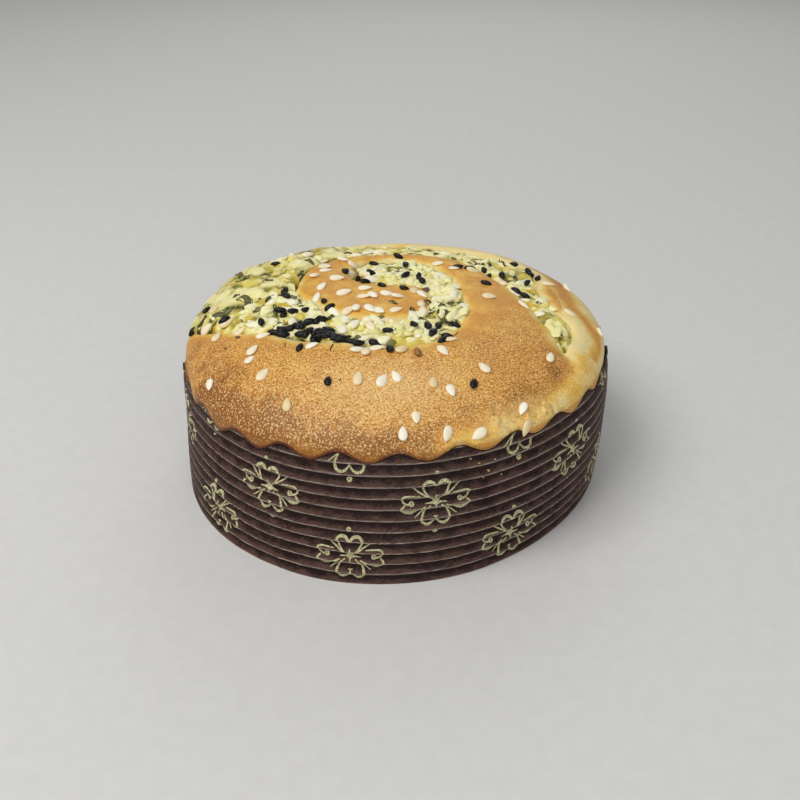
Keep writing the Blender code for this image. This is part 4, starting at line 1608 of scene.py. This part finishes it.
@dataclass
class Greens:
    """Torn spinach leaf and threads of herb, limp on the filling."""

    form: PieForm
    surface: Surface
    viewpoint: Viewpoint
    leaves: int = 50
    threads: int = 30
    leaf_steps: int = 12
    leaf_lanes: int = 7
    thickness: float = 0.14 * MM
    strewing: Strewing = Strewing(turn=200, before=1.0, after=0.55, reach=0.92)
    outermost: float = 50.0 * MM
    finish: TintFinish = TintFinish(
        "spinach", srgb(58, 60, 38), srgb(92, 92, 52), srgb(142, 140, 76), 0.42, gloss=0.45
    )
    # Leaves and threads that the picture shows: pixel across and down, length and width in
    # millimetres, and turn in degrees
    placed: tuple[tuple[float, float, float, float, float], ...] = (
        (216, 317, 6.5, 3.0, 40), (226, 312, 4.0, 2.0, 75), (203, 322, 3.5, 2.2, 60),
        (402, 271, 6.5, 3.0, 10), (436, 306, 7.0, 3.2, 150), (449, 318, 7.5, 3.4, 125),
        (455, 305, 5.0, 2.2, 20), (434, 324, 5.5, 2.4, 170), (434, 336, 3.5, 0.35, 20),
        (445, 341, 3.0, 0.3, 165), (455, 334, 2.6, 0.3, 60), (285, 345, 2.6, 0.3, 95),
        (332, 348, 2.8, 0.3, 80), (273, 299, 5.0, 1.6, 30), (300, 306, 4.0, 1.4, 130),
        (244, 301, 5.5, 2.0, 150), (258, 309, 3.5, 1.4, 20), (296, 322, 3.5, 1.5, 170),
        (330, 318, 3.0, 1.3, 60), (237, 276, 4.5, 1.6, 115), (301, 275, 4.0, 1.4, 70),
        (309, 262, 3.0, 1.2, 160), (391, 345, 3.0, 1.2, 40), (377, 318, 3.5, 1.6, 20),
        (413, 313, 3.0, 1.3, 100), (393, 303, 3.0, 1.2, 140),
    )

    def shred(
        self,
        x: float,
        y: float,
        length: float,
        width: float,
        turn: float,
        draw: random.Random,
        anywhere: bool,
    ) -> Skin | None:
        """Lays one limp shred.

        Args:
            x: Its middle along X.
            y: Its middle along Y.
            length: Its length.
            width: Its width.
            turn: Its direction on the plan.
            draw: Source of chance.
            anywhere: Whether it may lie on the dough too.

        Returns:
            A thin closed skin, or None where it would leave the filling.
        """
        bend = draw.gauss(0, 0.7)
        spot = np.array([x, y]) - 0.5 * length * np.array([math.cos(turn), math.sin(turn)])
        wave, lift = min(0.16 * width, 0.35 * MM), draw.uniform(0.02, 0.2) * MM
        upper = []
        for i in range(self.leaf_steps):
            share = i / (self.leaf_steps - 1) - 0.5
            aim = turn + bend * share
            spot = spot + (length / self.leaf_steps) * np.array([math.cos(aim), math.sin(aim)])
            taper = (max(1.0 - (2.02 * share) ** 2, 0.0) ** 0.5 * 0.85 + 0.15) * draw.uniform(0.82, 1.0)
            row = []
            for j in range(self.leaf_lanes):
                lane = j / (self.leaf_lanes - 1) - 0.5
                place = spot + width * taper * lane * np.array([-math.sin(aim), math.cos(aim)])
                found = self.surface.drop(*place)
                if found is None or (found[2] == 0 and not anywhere):
                    return None
                rise = lift + wave * (math.sin(8 * share + 5 * lane + turn) + 0.8 * abs(lane) * 2)
                row.append((place[0], place[1], found[0].z + rise))
            upper.append(row)
        top = np.array(upper).reshape(-1, 3)
        lower = top - np.array([0.0, 0.0, self.thickness])
        count = len(top)
        quads = grid_quads(self.leaf_steps, self.leaf_lanes)
        edge = grid_border(self.leaf_steps, self.leaf_lanes)
        after = np.roll(edge, -1)
        wall = np.stack([edge, edge + count, after + count, after], -1)
        faces = np.concatenate([quads, quads[:, ::-1] + count, wall])
        return Skin(np.concatenate([top, lower]), faces, [], {"tint": np.full(2 * count, draw.random())})

    def build(self) -> bpy.types.Object:
        """Lays leaf and threads over the filling."""
        draw = random.Random(51)
        shreds = []
        for u, v, length, width, turn in self.placed:
            found = self.viewpoint.look(self.surface, u, v)
            if found is not None:
                x, y, _ = found[0]
                shreds.append(self.shred(x, y, length * MM, width * MM, math.radians(turn), draw, True))
        shreds = [shred for shred in shreds if shred is not None]
        given = len(shreds)
        for spot in self.strewing.spots(self.form, draw):
            if len(shreds) == given + self.leaves + self.threads:
                break
            if math.hypot(*spot) > self.outermost:
                continue
            x, y = self.form.settle(np.array([*spot, 0.0]))[:2]
            thread = len(shreds) >= given + self.leaves
            length = draw.uniform(2.5, 6.0) * MM if thread else draw.uniform(1.2, 4.5) * MM
            width = draw.uniform(0.14, 0.26) * MM if thread else length * draw.uniform(0.25, 0.55)
            shred = self.shred(x, y, length, width, draw.uniform(0, math.tau), draw, False)
            if shred is not None:
                shreds.append(shred)
        piece = joined(shreds).link("spinach_shreds", self.finish.make(), crease=80.0)
        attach(piece, "root")
        return piece


@dataclass(frozen=True)
class Lamp:
    """One soft studio light."""

    name: str
    place: Vector
    size: float
    power: float
    tint: tuple[float, float, float] = (1.0, 1.0, 1.0)


@dataclass
class Studio:
    """A pale floor and soft light."""

    floor_colour: Colour = srgb(222, 222, 220)
    floor_side: float = 6.0
    sky: float = 0.30
    aim: Vector = field(default_factory=lambda: Vector((0.0, 0.0, 25 * MM)))
    lamps: tuple[Lamp, ...] = (
        Lamp("key", Vector((-0.38, -0.30, 0.75)), 0.45, 4.2, (1.0, 0.985, 0.96)),
        Lamp("front", Vector((0.15, -0.85, 0.35)), 0.7, 1.7),
        Lamp("back", Vector((0.1, 0.7, 0.55)), 0.5, 0.9),
    )

    def build(self) -> None:
        """Lays the floor and hangs the lamps."""
        half = 0.5 * self.floor_side
        corners = half * np.array([(-1, -1, 0), (1, -1, 0), (1, 1, 0), (-1, 1, 0)], dtype=float)
        finish = Finish("pale_floor", 0.75)
        cloth = finish.noise(4 * MM, 2.0, 0.5)
        shade = tuple(0.97 * c for c in self.floor_colour[:3]) + (1.0,)
        finish.colour(finish.mix(finish.ramp(cloth, 0.3, 0.7), self.floor_colour, shade))
        floor = Skin(corners, np.array([[0, 1, 2, 3]])).link("floor", finish.material)
        for lamp in self.lamps:
            data = bpy.data.lights.new(lamp.name, "AREA")
            data.energy = lamp.power
            data.size = lamp.size
            data.color = lamp.tint
            light = bpy.data.objects.new(lamp.name, data)
            light.location = lamp.place
            light.rotation_mode = "QUATERNION"
            light.rotation_quaternion = (self.aim - lamp.place).to_track_quat("-Z", "Y")
            bpy.context.scene.collection.objects.link(light)
        world = bpy.data.worlds.new("room")
        world.use_nodes = True
        background = world.node_tree.nodes["Background"]
        background.inputs["Color"].default_value = (1.0, 1.0, 1.0, 1.0)
        background.inputs["Strength"].default_value = self.sky
        bpy.context.scene.world = world
        bpy.context.scene.view_settings.view_transform = "Standard"


def main() -> None:
    """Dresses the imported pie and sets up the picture."""
    logging.basicConfig(level=logging.INFO, format="%(name)s: %(message)s")
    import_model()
    form = PieForm()
    viewpoint = Viewpoint()
    viewpoint.build()
    case = PaperCase(form)
    pieces = [case.build(), GoldPrint(form, case).build()]
    dough, filling = Dough(form).build(), Filling(form).build()
    bpy.context.view_layer.update()
    surface = Surface([dough, filling])
    curds = Curds(form, surface)
    curd_piece = curds.build()
    pieces += [dough, filling, curd_piece, Greens(form, surface, viewpoint).build()]
    bpy.context.view_layer.update()
    pieces.append(Crumbs(curds, Surface([dough, filling, curd_piece, pieces[0]]), viewpoint).build())
    seeds = Seeds(form, Surface([dough, filling, curd_piece]), viewpoint)
    pieces += [seeds.build(kind) for kind in Seed]
    Studio().build()
    for piece in pieces:
        LOG.info("%s: %d faces", piece.name, len(piece.data.polygons))


if __name__ == "__main__":
    main()
